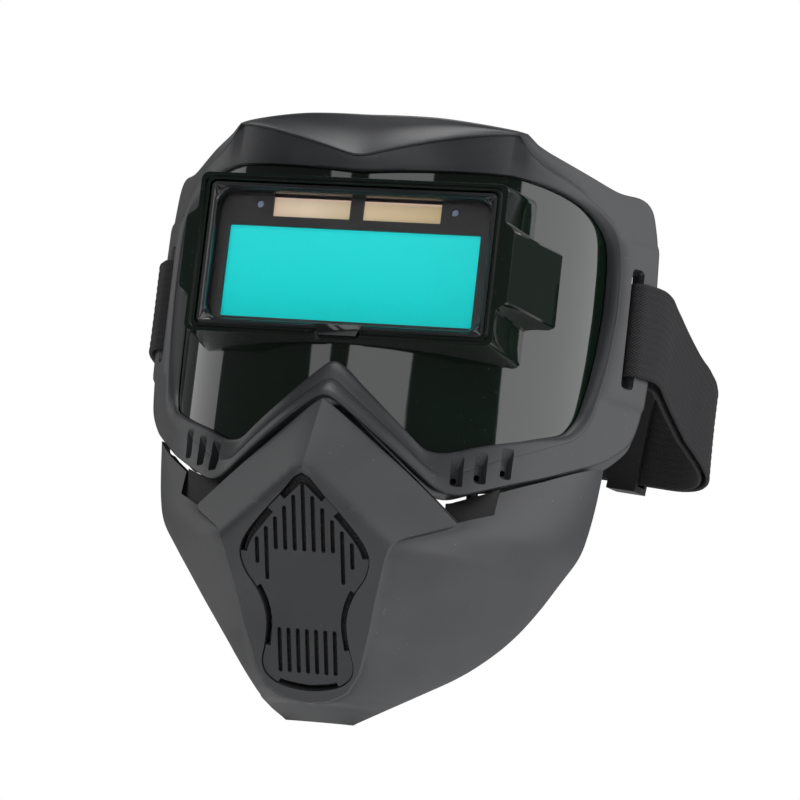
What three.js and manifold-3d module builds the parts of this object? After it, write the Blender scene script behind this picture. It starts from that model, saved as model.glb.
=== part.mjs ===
// Welding goggles: a wrap-round goggle with a swappable auto-darkening filter, a detachable
// lower face mask and an elastic headband. Millimetres, +X to the viewer's right, +Y towards
// the wearer, +Z up. Shapes are laid out from the centre of the filter window; the finished
// group is then moved so that its origin is the middle of the face opening, between the eyes.
import * as THREE from 'three';
import { mergeVertices } from 'three/addons/utils/BufferGeometryUtils.js';
import Module from 'manifold-3d';

const wasm = await Module();
wasm.setup();

// ---- driving dimensions -------------------------------------------------------------------
const GAP = 0.3;
const SLIVER = 0.01; // edges shorter than this, left by a cut, are closed up
const FACE_Y = 34; // filter window to the plane of the wearer's eyes
const FRAME_R = 90; // plan radius of the goggle frame's outer skin
const FRAME_FRONT = -3; // foremost point of that skin
const SIDE_X = 74; // half width where the skin runs straight into the side lugs
const SIDE_RISE = 1.44; // the side then runs back this much for each unit outwards
const VISOR_R = 88; // plan radius of the visor's outer face
const VISOR_FRONT = -1;
const VISOR_T = 2.4;
const REBATE = 4.3; // width of the visor's seat behind the frame's lip

const FILTER_W = 108; // standard filter cartridge
const FILTER_H = 50.8;
const FILTER_T = 9;
const FILTER_Z = 5.2; // cartridge middle above the window middle
const WINDOW_W = 98;
const WINDOW_H = 35;
const CELL_W = 30.3; // solar cell
const CELL_H = 8.9;
const CELL_X = 17.7;
const CELL_Z = 25.7;
const SENSOR_X = 38.1;
const SENSOR_R = 1.5;

const RIM_Y = -7.5; // front plane of the filter box
const RIM_HALF_W = 59.8;
const RIM_HALF_H = 30.4;
const BOX_DRAFT = 3; // the box grows by this much where it meets the visor
const BUMP_OUT = 4; // finger bumps on the sides of the box
const BUMP_Z = [-10, 20];

const STRAP_W = 36;
const STRAP_T = 1.6;
const SLOT_X = 93.2; // strap slot middle
const SLOT_Z = -2;
const SLOT_H = 45;
const SLOT_W = 5;

const MUZZLE_TOP = [0, -27.7, -81]; // top of the breathing grille on the mask's front face
const MUZZLE_SLOPE = 0.492; // the face runs back this much for each unit of drop
const MASK_T = 2.4;
const MASK_BOTTOM = -164;
const GRILLE_PITCH = 3.65;
const GRILLE_SLOT_W = 1.6;

// ---- solids -------------------------------------------------------------------------------
function toManifold(geometry) {
  const bare = geometry.index ? geometry.clone() : mergeVertices(geometry.clone());
  bare.deleteAttribute('normal');
  bare.deleteAttribute('uv');
  const merged = mergeVertices(bare, 1e-4);
  const triVerts = new Uint32Array(merged.index.array);
  const vertProperties = new Float32Array(merged.attributes.position.array);
  return new wasm.Manifold(new wasm.Mesh({ numProp: 3, vertProperties, triVerts }));
}

function toGeometry(solid) {
  const mesh = solid.getMesh();
  const geometry = new THREE.BufferGeometry();
  geometry.setAttribute('position', new THREE.BufferAttribute(mesh.vertProperties, 3));
  geometry.setIndex(new THREE.BufferAttribute(mesh.triVerts, 1));
  geometry.computeVertexNormals();
  return geometry;
}

// A closed geometry from points and triangles, turned the right way out.
function closedGeometry(points, triangles) {
  let volume = 0;
  for (const [a, b, c] of triangles) {
    volume += points[a].dot(new THREE.Vector3().crossVectors(points[b], points[c]));
  }
  const index = triangles.flatMap(([a, b, c]) => (volume > 0 ? [a, b, c] : [a, c, b]));
  const geometry = new THREE.BufferGeometry();
  const position = points.flatMap((p) => [p.x, p.y, p.z]);
  geometry.setAttribute('position', new THREE.Float32BufferAttribute(position, 3));
  geometry.setIndex(index);
  return geometry;
}

// Rows of points joined into a skin that closes on itself in both directions.
function torusOf(loops) {
  const rows = loops.length;
  const cols = loops[0].length;
  const triangles = [];
  for (let i = 0; i < rows; i += 1) {
    for (let j = 0; j < cols; j += 1) {
      const a = i * cols + j;
      const b = i * cols + ((j + 1) % cols);
      const c = ((i + 1) % rows) * cols + ((j + 1) % cols);
      const d = ((i + 1) % rows) * cols + j;
      triangles.push([a, b, c], [a, c, d]);
    }
  }
  return toManifold(closedGeometry(loops.flat(), triangles));
}

// Loops of points joined in turn; the first and last lie flat across Y and are filled in.
function plugOf(loops) {
  const cols = loops[0].length;
  const triangles = [];
  for (let i = 0; i < loops.length - 1; i += 1) {
    for (let j = 0; j < cols; j += 1) {
      const a = i * cols + j;
      const b = i * cols + ((j + 1) % cols);
      triangles.push([a, b, b + cols], [a, b + cols, a + cols]);
    }
  }
  const contour = loops[0].map((p) => new THREE.Vector2(p.x, p.z));
  const last = (loops.length - 1) * cols;
  const spin = (list) => Math.sign(THREE.ShapeUtils.area(list));
  for (const [a, b, c] of THREE.ShapeUtils.triangulateShape(contour, [])) {
    const agrees = spin([contour[a], contour[b], contour[c]]) === spin(contour);
    const [u, v, w] = agrees ? [a, b, c] : [a, c, b];
    triangles.push([u, w, v], [last + u, last + v, last + w]);
  }
  return toManifold(closedGeometry(loops.flat(), triangles));
}

// Convex sections of equal length joined end to end, with both ends capped.
function loftOf(sections) {
  const rows = sections.length;
  const cols = sections[0].length;
  const triangles = [];
  for (let i = 0; i < rows - 1; i += 1) {
    for (let j = 0; j < cols; j += 1) {
      const a = i * cols + j;
      const b = i * cols + ((j + 1) % cols);
      triangles.push([a, b, b + cols], [a, b + cols, a + cols]);
    }
  }
  const last = (rows - 1) * cols;
  for (let j = 1; j < cols - 1; j += 1) {
    triangles.push([0, j + 1, j], [last, last + j, last + j + 1]);
  }
  return toManifold(closedGeometry(sections.flat(), triangles));
}

// A slab between two skins of points, closed round its four sides.
function slabOf(front, back) {
  const rows = front.length;
  const cols = front[0].length;
  const behind = rows * cols;
  const triangles = [];
  for (let i = 0; i < rows - 1; i += 1) {
    for (let j = 0; j < cols - 1; j += 1) {
      const a = i * cols + j;
      triangles.push([a, a + 1, a + 1 + cols], [a, a + 1 + cols, a + cols]);
      triangles.push([behind + a, behind + a + 1 + cols, behind + a + 1]);
      triangles.push([behind + a, behind + a + cols, behind + a + 1 + cols]);
    }
  }
  const top = front[0].map((_, j) => j);
  const right = front.map((_, i) => i * cols + cols - 1);
  const bottom = top.map((j) => (rows - 1) * cols + j).reverse();
  const left = front.map((_, i) => i * cols).reverse();
  for (const side of [top, right, bottom, left]) {
    for (let k = 0; k < side.length - 1; k += 1) {
      const [a, b] = [side[k], side[k + 1]];
      triangles.push([b, a, behind + a], [b, behind + a, behind + b]);
    }
  }
  return toManifold(closedGeometry([...front.flat(), ...back.flat()], triangles));
}

// An outline of [x, z] points pushed along Y from y0 to y1.
function prismGeometry(outline, y0, y1) {
  const shape = new THREE.Shape(outline.map(([x, z]) => new THREE.Vector2(x, z)));
  const geometry = new THREE.ExtrudeGeometry(shape, { depth: y1 - y0, bevelEnabled: false });
  geometry.rotateX(Math.PI / 2);
  geometry.translate(0, y1, 0);
  return geometry;
}

const prismY = (outline, y0, y1) => toManifold(prismGeometry(outline, y0, y1));

function block(x0, x1, y0, y1, z0, z1) {
  const geometry = new THREE.BoxGeometry(x1 - x0, y1 - y0, z1 - z0);
  geometry.translate((x0 + x1) / 2, (y0 + y1) / 2, (z0 + z1) / 2);
  return toManifold(geometry);
}

// A block with its X-Z corners rounded.
function roundedBlock(width, height, radius, y0, y1, zMid, xMid = 0) {
  return prismY(roundedOutline(width, height, radius, xMid, zMid), y0, y1);
}

function roundedOutline(width, height, radius, xMid, zMid) {
  const outline = [];
  const corners = [[1, 1, 0], [-1, 1, 90], [-1, -1, 180], [1, -1, 270]];
  for (const [sx, sz, start] of corners) {
    for (let turn = 0; turn <= 90; turn += 30) {
      const angle = THREE.MathUtils.degToRad(start + turn);
      const x = xMid + sx * (width / 2 - radius) + radius * Math.cos(angle);
      const z = zMid + sz * (height / 2 - radius) + radius * Math.sin(angle);
      outline.push([x, z]);
    }
  }
  return outline;
}

function cylinderY(radius, y0, y1, x, z, sides = 16) {
  const geometry = new THREE.CylinderGeometry(radius, radius, y1 - y0, sides);
  geometry.translate(x, (y0 + y1) / 2, z);
  return toManifold(geometry);
}

function upright(radius, x, y, z0, z1, sides) {
  const geometry = new THREE.CylinderGeometry(radius, radius, z1 - z0, sides);
  geometry.rotateX(Math.PI / 2);
  geometry.translate(x, y, (z0 + z1) / 2);
  return toManifold(geometry);
}

function mirrored(half) {
  const other = half.slice(1, -1).reverse().map(([x, ...rest]) => [-x, ...rest]);
  return [...half, ...other];
}

const mix = (a, b, t) => a + (b - a) * t;

// The value at x of straight pieces through [x, value] pairs listed in rising x.
function along(pairs, x) {
  const last = pairs[pairs.length - 1];
  if (x <= pairs[0][0]) return pairs[0][1];
  if (x >= last[0]) return last[1];
  const k = pairs.findIndex(([start]) => start > x);
  const [x0, v0] = pairs[k - 1];
  const [x1, v1] = pairs[k];
  return mix(v0, v1, (x - x0) / (x1 - x0));
}

// ---- goggle frame, visor and foam ---------------------------------------------------------
// The rim's stations from the top middle down the right side to the bottom middle:
// lens edge x, z; outer edge x, z; how far the lens edge, the crest and the outer edge stand
// forward of the skin; where the crest lies between the edges (0 to 1); rim depth; how far
// the rear lip stands out.
const RIM_STATIONS = [
  [0, 39, 0, 62.6, 0.5, 3, -5, 0.2, 16, 0.15],
  [28, 41.5, 28, 63.4, 0.4, 1.8, -4.5, 0.5, 16, 0.15],
  [54, 44.2, 55, 62.6, 0.3, 0.6, -2.5, 0.85, 15, 0.15],
  [60, 43.8, 58.5, 62.2, 0.3, 0.8, -2, 0.5, 14, 0.15],
  [66, 43, 63, 57.6, 0.3, 0.8, -1.5, 0.4, 13, 0.15],
  [72, 41.5, 80, 51.3, 0.2, 0.8, -0.8, 0.3, 10, 0.15],
  [78, 38.8, 88.2, 47.8, -0.5, 0.8, -0.4, 0.2, 8, 0.15],
  [83.5, 34, 92.4, 50.3, -1.8, 0.8, 0, 0.15, 6, 0.15],
  [86, 28.5, 96.4, 47.5, -2.6, 0.8, 0, 0.12, 5, 0.15],
  [87, 19, 99, 33, -3.1, 0.8, 0, 0.12, 5, 0.15],
  [87.2, 2, 99.8, 4, -3.2, 0.8, 0, 0.12, 5, 0.15],
  [86, -15, 99.8, -18, -2.9, 0.8, 0, 0.12, 5, 0.15],
  [84.3, -28, 99.2, -34, -2.4, 0.8, 0, 0.12, 6, 0.15],
  [82, -40, 97.2, -45.6, -1.8, 0.8, 0, 0.15, 8, 2.4],
  [78.3, -47.6, 90, -54.6, -1, 0.8, 0, 0.2, 10, 2.4],
  [66, -53.8, 73, -66.4, 0.2, 0.8, 0, 0.3, 12, 3],
  [52, -59, 58, -74, 0.6, 1, 1, 0.4, 12, 0.15],
  [42, -63.5, 47, -79, 1, 1.6, 2.5, 0.5, 12, 0.15],
  [35.5, -63.5, 41, -78.6, 1.4, 2.2, 3.5, 0.5, 12, 0.15],
  [29, -57.5, 31, -70.6, 2, 3.2, 4.8, 0.5, 12, 2.4],
  [14, -44, 14.5, -57.7, 2.6, 5, 8, 0.5, 12, 2.4],
  [0, -31.7, 0, -46.5, 3, 6, 11, 0.5, 12, 2.4],
];
const RIM_STEPS = 3; // points per station
const LIP_T = 2.6; // thickness of the rear lip that laps behind the mask's top edge
const VENT_W = 3.6;
const VENT_H = 10;
const VENT_DEEP = 7;
const VENT_HOLES = [[46.4, -73.3], [53.9, -70.8], [61.8, -67.4]];

function frameY(x) {
  const reach = Math.min(Math.abs(x), SIDE_X);
  const curved = FRAME_FRONT + FRAME_R - Math.sqrt(FRAME_R ** 2 - reach ** 2);
  return curved + SIDE_RISE * (Math.abs(x) - reach);
}

// A point at a depth behind the frame's outer skin.
function underSkin(x, z, depth) {
  const flat = Math.abs(x) >= SIDE_X;
  const reach = Math.abs(x) / Math.sqrt(FRAME_R ** 2 - Math.min(Math.abs(x), SIDE_X) ** 2);
  const rise = Math.sign(x) * (flat ? SIDE_RISE : reach);
  const length = Math.hypot(rise, 1);
  return new THREE.Vector3(x - (depth * rise) / length, frameY(x) + depth / length, z);
}

// How far behind the skin the visor's outer face lies, measured square to the skin.
function visorDepth(x) {
  const start = underSkin(x, 0, 0);
  const inwards = underSkin(x, 0, 1).sub(start);
  const fromAxis = start.setY(start.y - VISOR_FRONT - VISOR_R);
  const half = fromAxis.dot(inwards);
  return -half - Math.sqrt(half ** 2 - fromAxis.lengthSq() + VISOR_R ** 2);
}

// The stations filled in with points between them, right round the rim, corners eased.
function rimPoints() {
  const half = [];
  for (let k = 0; k < RIM_STATIONS.length - 1; k += 1) {
    for (let step = 0; step < RIM_STEPS; step += 1) {
      const t = step / RIM_STEPS;
      half.push(RIM_STATIONS[k].map((value, i) => mix(value, RIM_STATIONS[k + 1][i], t)));
    }
  }
  half.push(RIM_STATIONS[RIM_STATIONS.length - 1]);
  const flip = ([xi, zi, xo, ...rest]) => [-xi, zi, -xo, ...rest];
  const round = [...half, ...half.slice(1, -1).reverse().map(flip)];
  const eased = round.map((row, k) => {
    const before = round[(k + round.length - 1) % round.length];
    const after = round[(k + 1) % round.length];
    return row.map((value, i) => 0.5 * value + 0.25 * (before[i] + after[i]));
  });
  return eased.map(([xi, zi, xo, zo, lensLift, crestLift, edgeLift, crest, depth, lip]) => {
    const width = underSkin(xi, zi, 0).distanceTo(underSkin(xo, zo, 0));
    return { xi, zi, xo, zo, lensLift, crestLift, edgeLift, crest, depth, lip, width };
  });
}

const RIM = rimPoints();

// One loop round the rim: share() is how far out from the lens edge, depth() how far back.
function rimLoop(share, depth) {
  return RIM.map((p) => {
    const t = share(p);
    return underSkin(mix(p.xi, p.xo, t), mix(p.zi, p.zo, t), depth(p));
  });
}

// Where the visor's edge is seated, just in front of its outer face, and the land behind it.
const LAND_RUN = 1.8;
const LAND_DEEP = 4;
const seatDepth = (p, share) => visorDepth(mix(p.xi, p.xo, share)) - GAP;
const landShare = (p) => (REBATE + LAND_RUN) / p.width;
const landDepth = (p) => Math.max(p.depth, seatDepth(p, landShare(p)) + LAND_DEEP);

function frameRing() {
  const rebate = (p) => REBATE / p.width;
  const outerMid = (p) => mix(p.crest, 0.94, 0.5);
  const lipShare = (p) => 1 + p.lip / p.width;
  return torusOf([
    rimLoop(() => 0, (p) => seatDepth(p, 0)),
    rimLoop(() => 0, (p) => 0.4 - p.lensLift),
    rimLoop((p) => p.crest, (p) => -p.crestLift),
    rimLoop(outerMid, (p) => -mix(p.crestLift, p.edgeLift, 0.5)),
    rimLoop(() => 0.94, (p) => -p.edgeLift),
    rimLoop(() => 1, (p) => 1.6 - p.edgeLift),
    rimLoop(() => 1, (p) => p.depth - LIP_T),
    rimLoop(lipShare, (p) => p.depth - LIP_T + 0.3),
    rimLoop(lipShare, (p) => p.depth - 0.4),
    rimLoop((p) => landShare(p) + 0.06, (p) => p.depth),
    rimLoop(landShare, landDepth),
    rimLoop(rebate, (p) => seatDepth(p, rebate(p)) + 3),
    rimLoop(rebate, (p) => seatDepth(p, rebate(p))),
  ]);
}

// A block square to the skin at x, z: across the skin, through it and up it.
function blockOnSkin(x, z, across, through, tall) {
  const geometry = new THREE.BoxGeometry(across, through, tall);
  const outwards = underSkin(x, z, -1).sub(underSkin(x, z, 0));
  geometry.rotateZ(Math.atan2(outwards.x, -outwards.y));
  const middle = underSkin(x, z, 0);
  geometry.translate(middle.x, middle.y, middle.z);
  return toManifold(geometry);
}

const PEG_X = 50; // mask pegs that plug into the frame's lower rim
const PEG_Y = 22.5;
const PEG_R = 2.2;
const PEG_TOP = -66;

function goggleFrame() {
  let frame = frameRing();
  for (const side of [-1, 1]) {
    frame = frame.subtract(blockOnSkin(side * SLOT_X, SLOT_Z, SLOT_W, 30, SLOT_H));
    frame = frame.subtract(upright(PEG_R + GAP, side * PEG_X, PEG_Y, -90, PEG_TOP + 1, 12));
    for (const [x, z] of VENT_HOLES) {
      frame = frame.subtract(blockOnSkin(side * x, z + VENT_H / 2 - 1, VENT_W, VENT_DEEP, VENT_H));
    }
  }
  return frame;
}

const VISOR_SIDES = 72;

// The visor is a piece of a tall tube, cut square to its surface inside the frame's rebate.
function visorPanel() {
  const reach = (p) => (REBATE - 2 * GAP) / p.width;
  const near = rimLoop(reach, () => -6);
  const far = rimLoop(reach, () => 12);
  const front = near.map((p) => new THREE.Vector3(p.x, -30, p.z));
  const behind = far.map((p) => new THREE.Vector3(p.x, 110, p.z));
  const middle = VISOR_FRONT + VISOR_R;
  const outside = upright(VISOR_R, 0, middle, -90, 70, VISOR_SIDES);
  const inside = upright(VISOR_R - VISOR_T, 0, middle, -91, 71, VISOR_SIDES);
  return outside.subtract(inside).intersect(plugOf([front, near, far, behind]));
}

function boxSection(y, halfWidth, halfHeight, zMid, xMid = 0) {
  const outline = roundedOutline(2 * halfWidth, 2 * halfHeight, 3, xMid, zMid);
  return outline.map(([x, z]) => new THREE.Vector3(x, y, z));
}

const BOX_ROOT_Y = 33; // the box's walls are drawn this far back, then trimmed to the visor

function filterBox() {
  const [low, high] = BUMP_Z;
  const bumpMid = (low + high) / 2;
  const bumpHalf = (high - low) / 2;
  let box = loftOf([
    boxSection(RIM_Y, RIM_HALF_W, RIM_HALF_H, FILTER_Z),
    boxSection(BOX_ROOT_Y, RIM_HALF_W + BOX_DRAFT, RIM_HALF_H + BOX_DRAFT, FILTER_Z),
  ]);
  for (const side of [-1, 1]) {
    const bump = loftOf([
      boxSection(RIM_Y + 1, 8, bumpHalf, bumpMid, side * (RIM_HALF_W + BUMP_OUT - 8)),
      boxSection(BOX_ROOT_Y, 10, bumpHalf + 1, bumpMid, side * (RIM_HALF_W + 2 * BUMP_OUT - 9)),
    ]);
    box = box.add(bump);
  }
  const middle = VISOR_FRONT + VISOR_R;
  box = box.subtract(upright(VISOR_R - VISOR_T / 2, 0, middle, -90, 90, VISOR_SIDES));
  return box.add(roundedBlock(FILTER_W + 5, FILTER_H + 5, 3, RIM_Y + 2, LEDGE_Y + 1.6, FILTER_Z));
}

const LEDGE_Y = 10.6; // the ledge that the filter and its inner cover rest against
const LEDGE_W = 4;
const OVER = 1; // how far cutting shapes run past the surface they open
const PRY_TAB_W = 16;
const PRY_TAB_H = 4.8;
const RETAINER_W = FILTER_W + 4;
const RETAINER_H = FILTER_H + 4;

function visor() {
  const room = 2 * GAP;
  const ledge = 2 * LEDGE_W;
  const front = RIM_Y - OVER;
  const pocket = roundedBlock(FILTER_W + room, FILTER_H + room, 2, front, LEDGE_Y, FILTER_Z);
  const sight = roundedBlock(FILTER_W - ledge, FILTER_H - ledge, 3, front, BOX_ROOT_Y, FILTER_Z);
  const mouth = roundedBlock(RETAINER_W + room, RETAINER_H + room, 2.5, front, -GAP, FILTER_Z);
  const half = PRY_TAB_W / 2 + OVER;
  const low = FILTER_Z - RETAINER_H / 2;
  const tabSeat = block(-half, half, front, RIM_Y + 2.4, low - PRY_TAB_H, low + 2);
  const solid = visorPanel().add(filterBox());
  return solid.subtract(pocket).subtract(sight).subtract(mouth).subtract(tabSeat);
}

const FOAM_T = 10;
const FOAM_GAP = 0.9; // room for the adhesive behind the foam
const FOAM_IN = 5.2; // foam's inner and outer edges, out from the lens edge
const FOAM_OUT = 9.5;
const FOAM_SHY = 8; // the foam stops this far short of the rim's outer edge,
const FOAM_MOST = 0.72; // or at this share of the way out
const FOAM_SIDE_X = 76; // beyond this it keeps to its narrow width

function faceFoam() {
  const inner = (p) => FOAM_IN / p.width;
  const wide = (p) => Math.min(Math.max(FOAM_OUT, p.width - FOAM_SHY) / p.width, FOAM_MOST);
  const outerEdge = (p) => (Math.abs(p.xi) > FOAM_SIDE_X ? FOAM_OUT / p.width : wide(p));
  return torusOf([
    rimLoop(inner, (p) => landDepth(p) + FOAM_GAP),
    rimLoop(outerEdge, (p) => landDepth(p) + FOAM_GAP),
    rimLoop(outerEdge, (p) => landDepth(p) + FOAM_T - 1.5),
    rimLoop((p) => mix(inner(p), outerEdge(p), 0.5), (p) => landDepth(p) + FOAM_T),
    rimLoop(inner, (p) => landDepth(p) + FOAM_T - 1.5),
  ]);
}

// ---- auto-darkening filter ----------------------------------------------------------------
const SKIN_T = 1; // front wall of the cartridge
const WALL_T = 1.4; // its side walls
const SPLIT_Y = 4.5; // where the two halves of its case meet

function filterCaseFront() {
  let half = roundedBlock(FILTER_W, FILTER_H, 1.5, 0, SPLIT_Y, FILTER_Z);
  const [innerW, innerH] = [FILTER_W - 2 * WALL_T, FILTER_H - 2 * WALL_T];
  half = half.subtract(roundedBlock(innerW, innerH, 1, SKIN_T, SPLIT_Y + 1, FILTER_Z));
  half = half.subtract(roundedBlock(WINDOW_W, WINDOW_H, 0.6, -1, 2, 0));
  for (const side of [-1, 1]) {
    half = half.subtract(roundedBlock(CELL_W, CELL_H, 0.4, -1, 2, CELL_Z, side * CELL_X));
    half = half.subtract(cylinderY(SENSOR_R, -1, 2, side * SENSOR_X, CELL_Z));
  }
  return half;
}

function filterCaseBack() {
  const back = roundedBlock(FILTER_W, FILTER_H, 1.5, SPLIT_Y + GAP, FILTER_T, FILTER_Z);
  const [innerW, innerH] = [FILTER_W - 2 * WALL_T, FILTER_H - 2 * WALL_T];
  const hollow = roundedBlock(innerW, innerH, 1, SPLIT_Y, FILTER_T - SKIN_T, FILTER_Z);
  return back.subtract(hollow).subtract(roundedBlock(WINDOW_W, WINDOW_H, 0.6, 3, 10, 0));
}

// The glass stack sits below the electronics strip, each sheet a gap behind the one before.
const GLASS_W = WINDOW_W + 3;
const GLASS_H = WINDOW_H + 2.4;
const STRIP_Z = [19.4, 28.8]; // heights of the electronics strip

const glassSheet = (y0, y1) => block(-GLASS_W / 2, GLASS_W / 2, y0, y1, -GLASS_H / 2, GLASS_H / 2);

const windowGlass = () => glassSheet(SKIN_T + GAP, SKIN_T + GAP + 1.2);
const shutterCell = () => glassSheet(2.8, 5.6);
const rearGlass = () => glassSheet(5.9, FILTER_T - SKIN_T - GAP);

function solarCell(side) {
  const half = CELL_W / 2 + 0.8;
  const x = side * CELL_X;
  return block(x - half, x + half, SKIN_T + GAP, 2.1, STRIP_Z[0] + 0.2, STRIP_Z[1]);
}

function arcSensor(side) {
  const stem = cylinderY(SENSOR_R + 0.8, SKIN_T + GAP, 2.4, side * SENSOR_X, CELL_Z, 12);
  return stem.add(cylinderY(SENSOR_R - GAP, 0.5, 2, side * SENSOR_X, CELL_Z, 12));
}

function circuitBoard() {
  return block(-50, 50, 2.8, 4, ...STRIP_Z);
}

function coinCell(side) {
  return cylinderY(4.6, 4.3, 6.9, side * 38, 24.1, 20);
}

function innerCover() {
  return roundedBlock(FILTER_W - 0.4, FILTER_H - 0.4, 1.5, FILTER_T + GAP, LEDGE_Y - GAP, FILTER_Z);
}

// ---- retainer that holds the cover plate and the filter in the box ------------------------
const RETAINER_FRONT = RIM_Y + 1;
const RETAINER_BACK = -1.8;

function retainingFrame() {
  const outer = roundedBlock(RETAINER_W, RETAINER_H, 2.2, RETAINER_FRONT, RETAINER_BACK, FILTER_Z);
  const sill = roundedBlock(FILTER_W - 1, FILTER_H - 0.6, 3, RIM_Y - 1, 0, FILTER_Z);
  const low = FILTER_Z - RETAINER_H / 2;
  const half = PRY_TAB_W / 2;
  const tab = block(-half, half, RIM_Y + GAP, RIM_Y + 2, low - 2, low + 1.5);
  return outer.subtract(sill).add(tab);
}

function coverPlate() {
  return roundedBlock(RETAINER_W, RETAINER_H, 2.2, RETAINER_BACK + GAP, -2 * GAP, FILTER_Z);
}

// ---- lower mask ---------------------------------------------------------------------------
// How far below the window middle, then the half width of the raised front panel there.
const PANEL_EDGE = [
  [50, 50.3], [90.3, 50], [96, 40.3], [99.5, 34], [106, 31], [120, 27],
  [133, 23.8], [147, 19.7], [154, 14.8], [157.4, 8], [158.4, 0.6],
];
// The same for the mask's rear edge.
const REAR_EDGE = [
  [44, 88.5], [56, 88.5], [70, 86.8], [80, 85.1], [90, 82.6], [95, 79.3], [100, 75.7], [110, 69.1],
  [120, 62], [130, 53.7], [140, 44], [150, 32.3], [156, 25.3], [160, 19.6], [164, 13],
];
const REAR_Y = [
  [44, 62], [70, 64], [90, 65], [110, 67.5], [122, 66.5], [130, 63], [140, 55], [150, 40.4],
  [156, 31.5], [160, 27.8], [164, 26],
];
const CHEEK_BULGE = [[80, 1], [125, 0.5], [164, 0.1]];
const PANEL_STEP = 1.4; // the panel stands this far proud of the cheeks
const STEP_RUN = 0.8; // over this width
const PANEL_SHARE = 0.4; // share of the skin's points on the panel, and on the step beside it
const STEP_SHARE = 0.02;
const PANEL_DROP = 158.4; // bottom of the panel
const CHIN_Y = [[PANEL_DROP, 12], [164, 25]];
const CHIN_ROUND = [[133, 1], [154, 1.6], [164, 1.9]]; // how roundly the chin turns back

// Front panel: two nose planes and the sloping muzzle plane, their meeting rounded.
function panelY(x, z) {
  const nose = -14.8 + 0.528 * (z + 50) + 0.815 * Math.hypot(x, 2) - 1.6;
  const muzzle = MUZZLE_TOP[1] + MUZZLE_SLOPE * (MUZZLE_TOP[2] - z);
  const soft = 3;
  const overlap = Math.max(0, 1 - Math.abs(nose - muzzle) / soft);
  return Math.max(nose, muzzle) + 0.25 * soft * overlap ** 2;
}

// A point of the mask's outer skin: across runs 0 to 1 from the middle to the rear edge.
function maskPoint(side, across, z) {
  const drop = -z;
  const panelX = along(PANEL_EDGE, drop);
  const onChin = drop > PANEL_DROP;
  if (across <= PANEL_SHARE) {
    const x = side * panelX * (across / PANEL_SHARE);
    return new THREE.Vector3(x, onChin ? along(CHIN_Y, drop) : panelY(x, z), z);
  }
  const share = (across - PANEL_SHARE - STEP_SHARE) / (1 - PANEL_SHARE - STEP_SHARE);
  const start = onChin ? along(CHIN_Y, drop) : panelY(panelX, z) + PANEL_STEP;
  const t = 1 - (1 - share) ** 1.6;
  const bulge = 1 - (1 - t ** 1.5) ** 0.62;
  const rise = mix(t, bulge, along(CHEEK_BULGE, drop)) ** along(CHIN_ROUND, drop);
  const x = mix(panelX + STEP_RUN, along(REAR_EDGE, drop), t);
  return new THREE.Vector3(side * x, mix(start, along(REAR_Y, drop), rise), z);
}

const MASK_ROWS = [
  44, 50, 56, 62, 68, 74, 80, 86, 90, 93, 96, 99.5, 103, 108, 114, 120,
  126, 133, 140, 147, 151, 154, 156, 157.4, 158.4, 158.9, 160, 162, 164,
];
const MASK_ACROSS = [0, 0.04, 0.1, 0.18, 0.26, 0.34, 0.4, 0.42, 0.48, 0.55, 0.62, 0.7, 0.78, 0.86, 0.93, 1];

const CHIN_MIDDLE = new THREE.Vector3(0, 30, -130); // the chin's wall thickens towards this
const CHIN_TURN = [[150, 0], [158, 1]];

// The mask's skin as rows of points, moved inwards by the given depth.
function maskSkin(depth) {
  const left = MASK_ACROSS.slice(1).reverse().map((a) => [-1, a]);
  const columns = [...left, ...MASK_ACROSS.map((a) => [1, a])];
  return MASK_ROWS.map((drop) => columns.map(([side, across]) => {
    const before = maskPoint(side, Math.max(0, across - 0.03), -drop);
    const after = maskPoint(side, Math.min(1, across + 0.03), -drop);
    const above = maskPoint(side, across, -Math.max(MASK_ROWS[0], drop - 2));
    const below = maskPoint(side, across, -Math.min(-MASK_BOTTOM, drop + 2));
    const normal = after.sub(before).cross(above.sub(below)).normalize();
    if (across === 0) normal.setX(0).normalize();
    const here = maskPoint(side, across, -drop);
    const inwards = CHIN_MIDDLE.clone().sub(here).normalize();
    if (normal.y < 0) normal.negate();
    normal.lerp(inwards, along(CHIN_TURN, drop)).normalize();
    return here.addScaledVector(normal, depth);
  }));
}

// The trimmed top edge follows the frame's lower rim; a notch each side shows the pegs.
const MASK_TRIM = [
  [0, -49.2], [4.6, -52], [14.5, -59.4], [31, -72.2], [40, -79.8], [50.3, -88.9],
  [61.2, -83.6], [61.4, -74.7], [73.6, -67.2], [91, -54.8], [100, -50],
];

const GRILLE_OUTLINE = [
  [0, -1.8], [9, 7], [16, 14.6], [22.4, 22.8], [25, 29.5], [23.3, 36.8], [19.2, 43],
  [16.4, 49.5], [15.5, 56.3], [16.5, 65], [17.8, 71.3], [16.2, 76.5], [10.5, 80.2], [0, 81.8],
];

// Outlines on the muzzle are [x, distance down its slope]; y runs into the mask.
function onMuzzle(outline, y0, y1) {
  const geometry = prismGeometry(outline.map(([x, down]) => [x, -down]), y0, y1);
  geometry.rotateX(Math.atan(MUZZLE_SLOPE));
  geometry.translate(...MUZZLE_TOP);
  return toManifold(geometry);
}

// An outline moved inwards by a distance, corner by corner.
function insetOutline(outline, distance) {
  return outline.map(([x, z], k) => {
    const [x0, z0] = outline[(k + outline.length - 1) % outline.length];
    const [x1, z1] = outline[(k + 1) % outline.length];
    const length = Math.hypot(x1 - x0, z1 - z0);
    return [x - (distance * (z1 - z0)) / length, z + (distance * (x1 - x0)) / length];
  });
}

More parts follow.
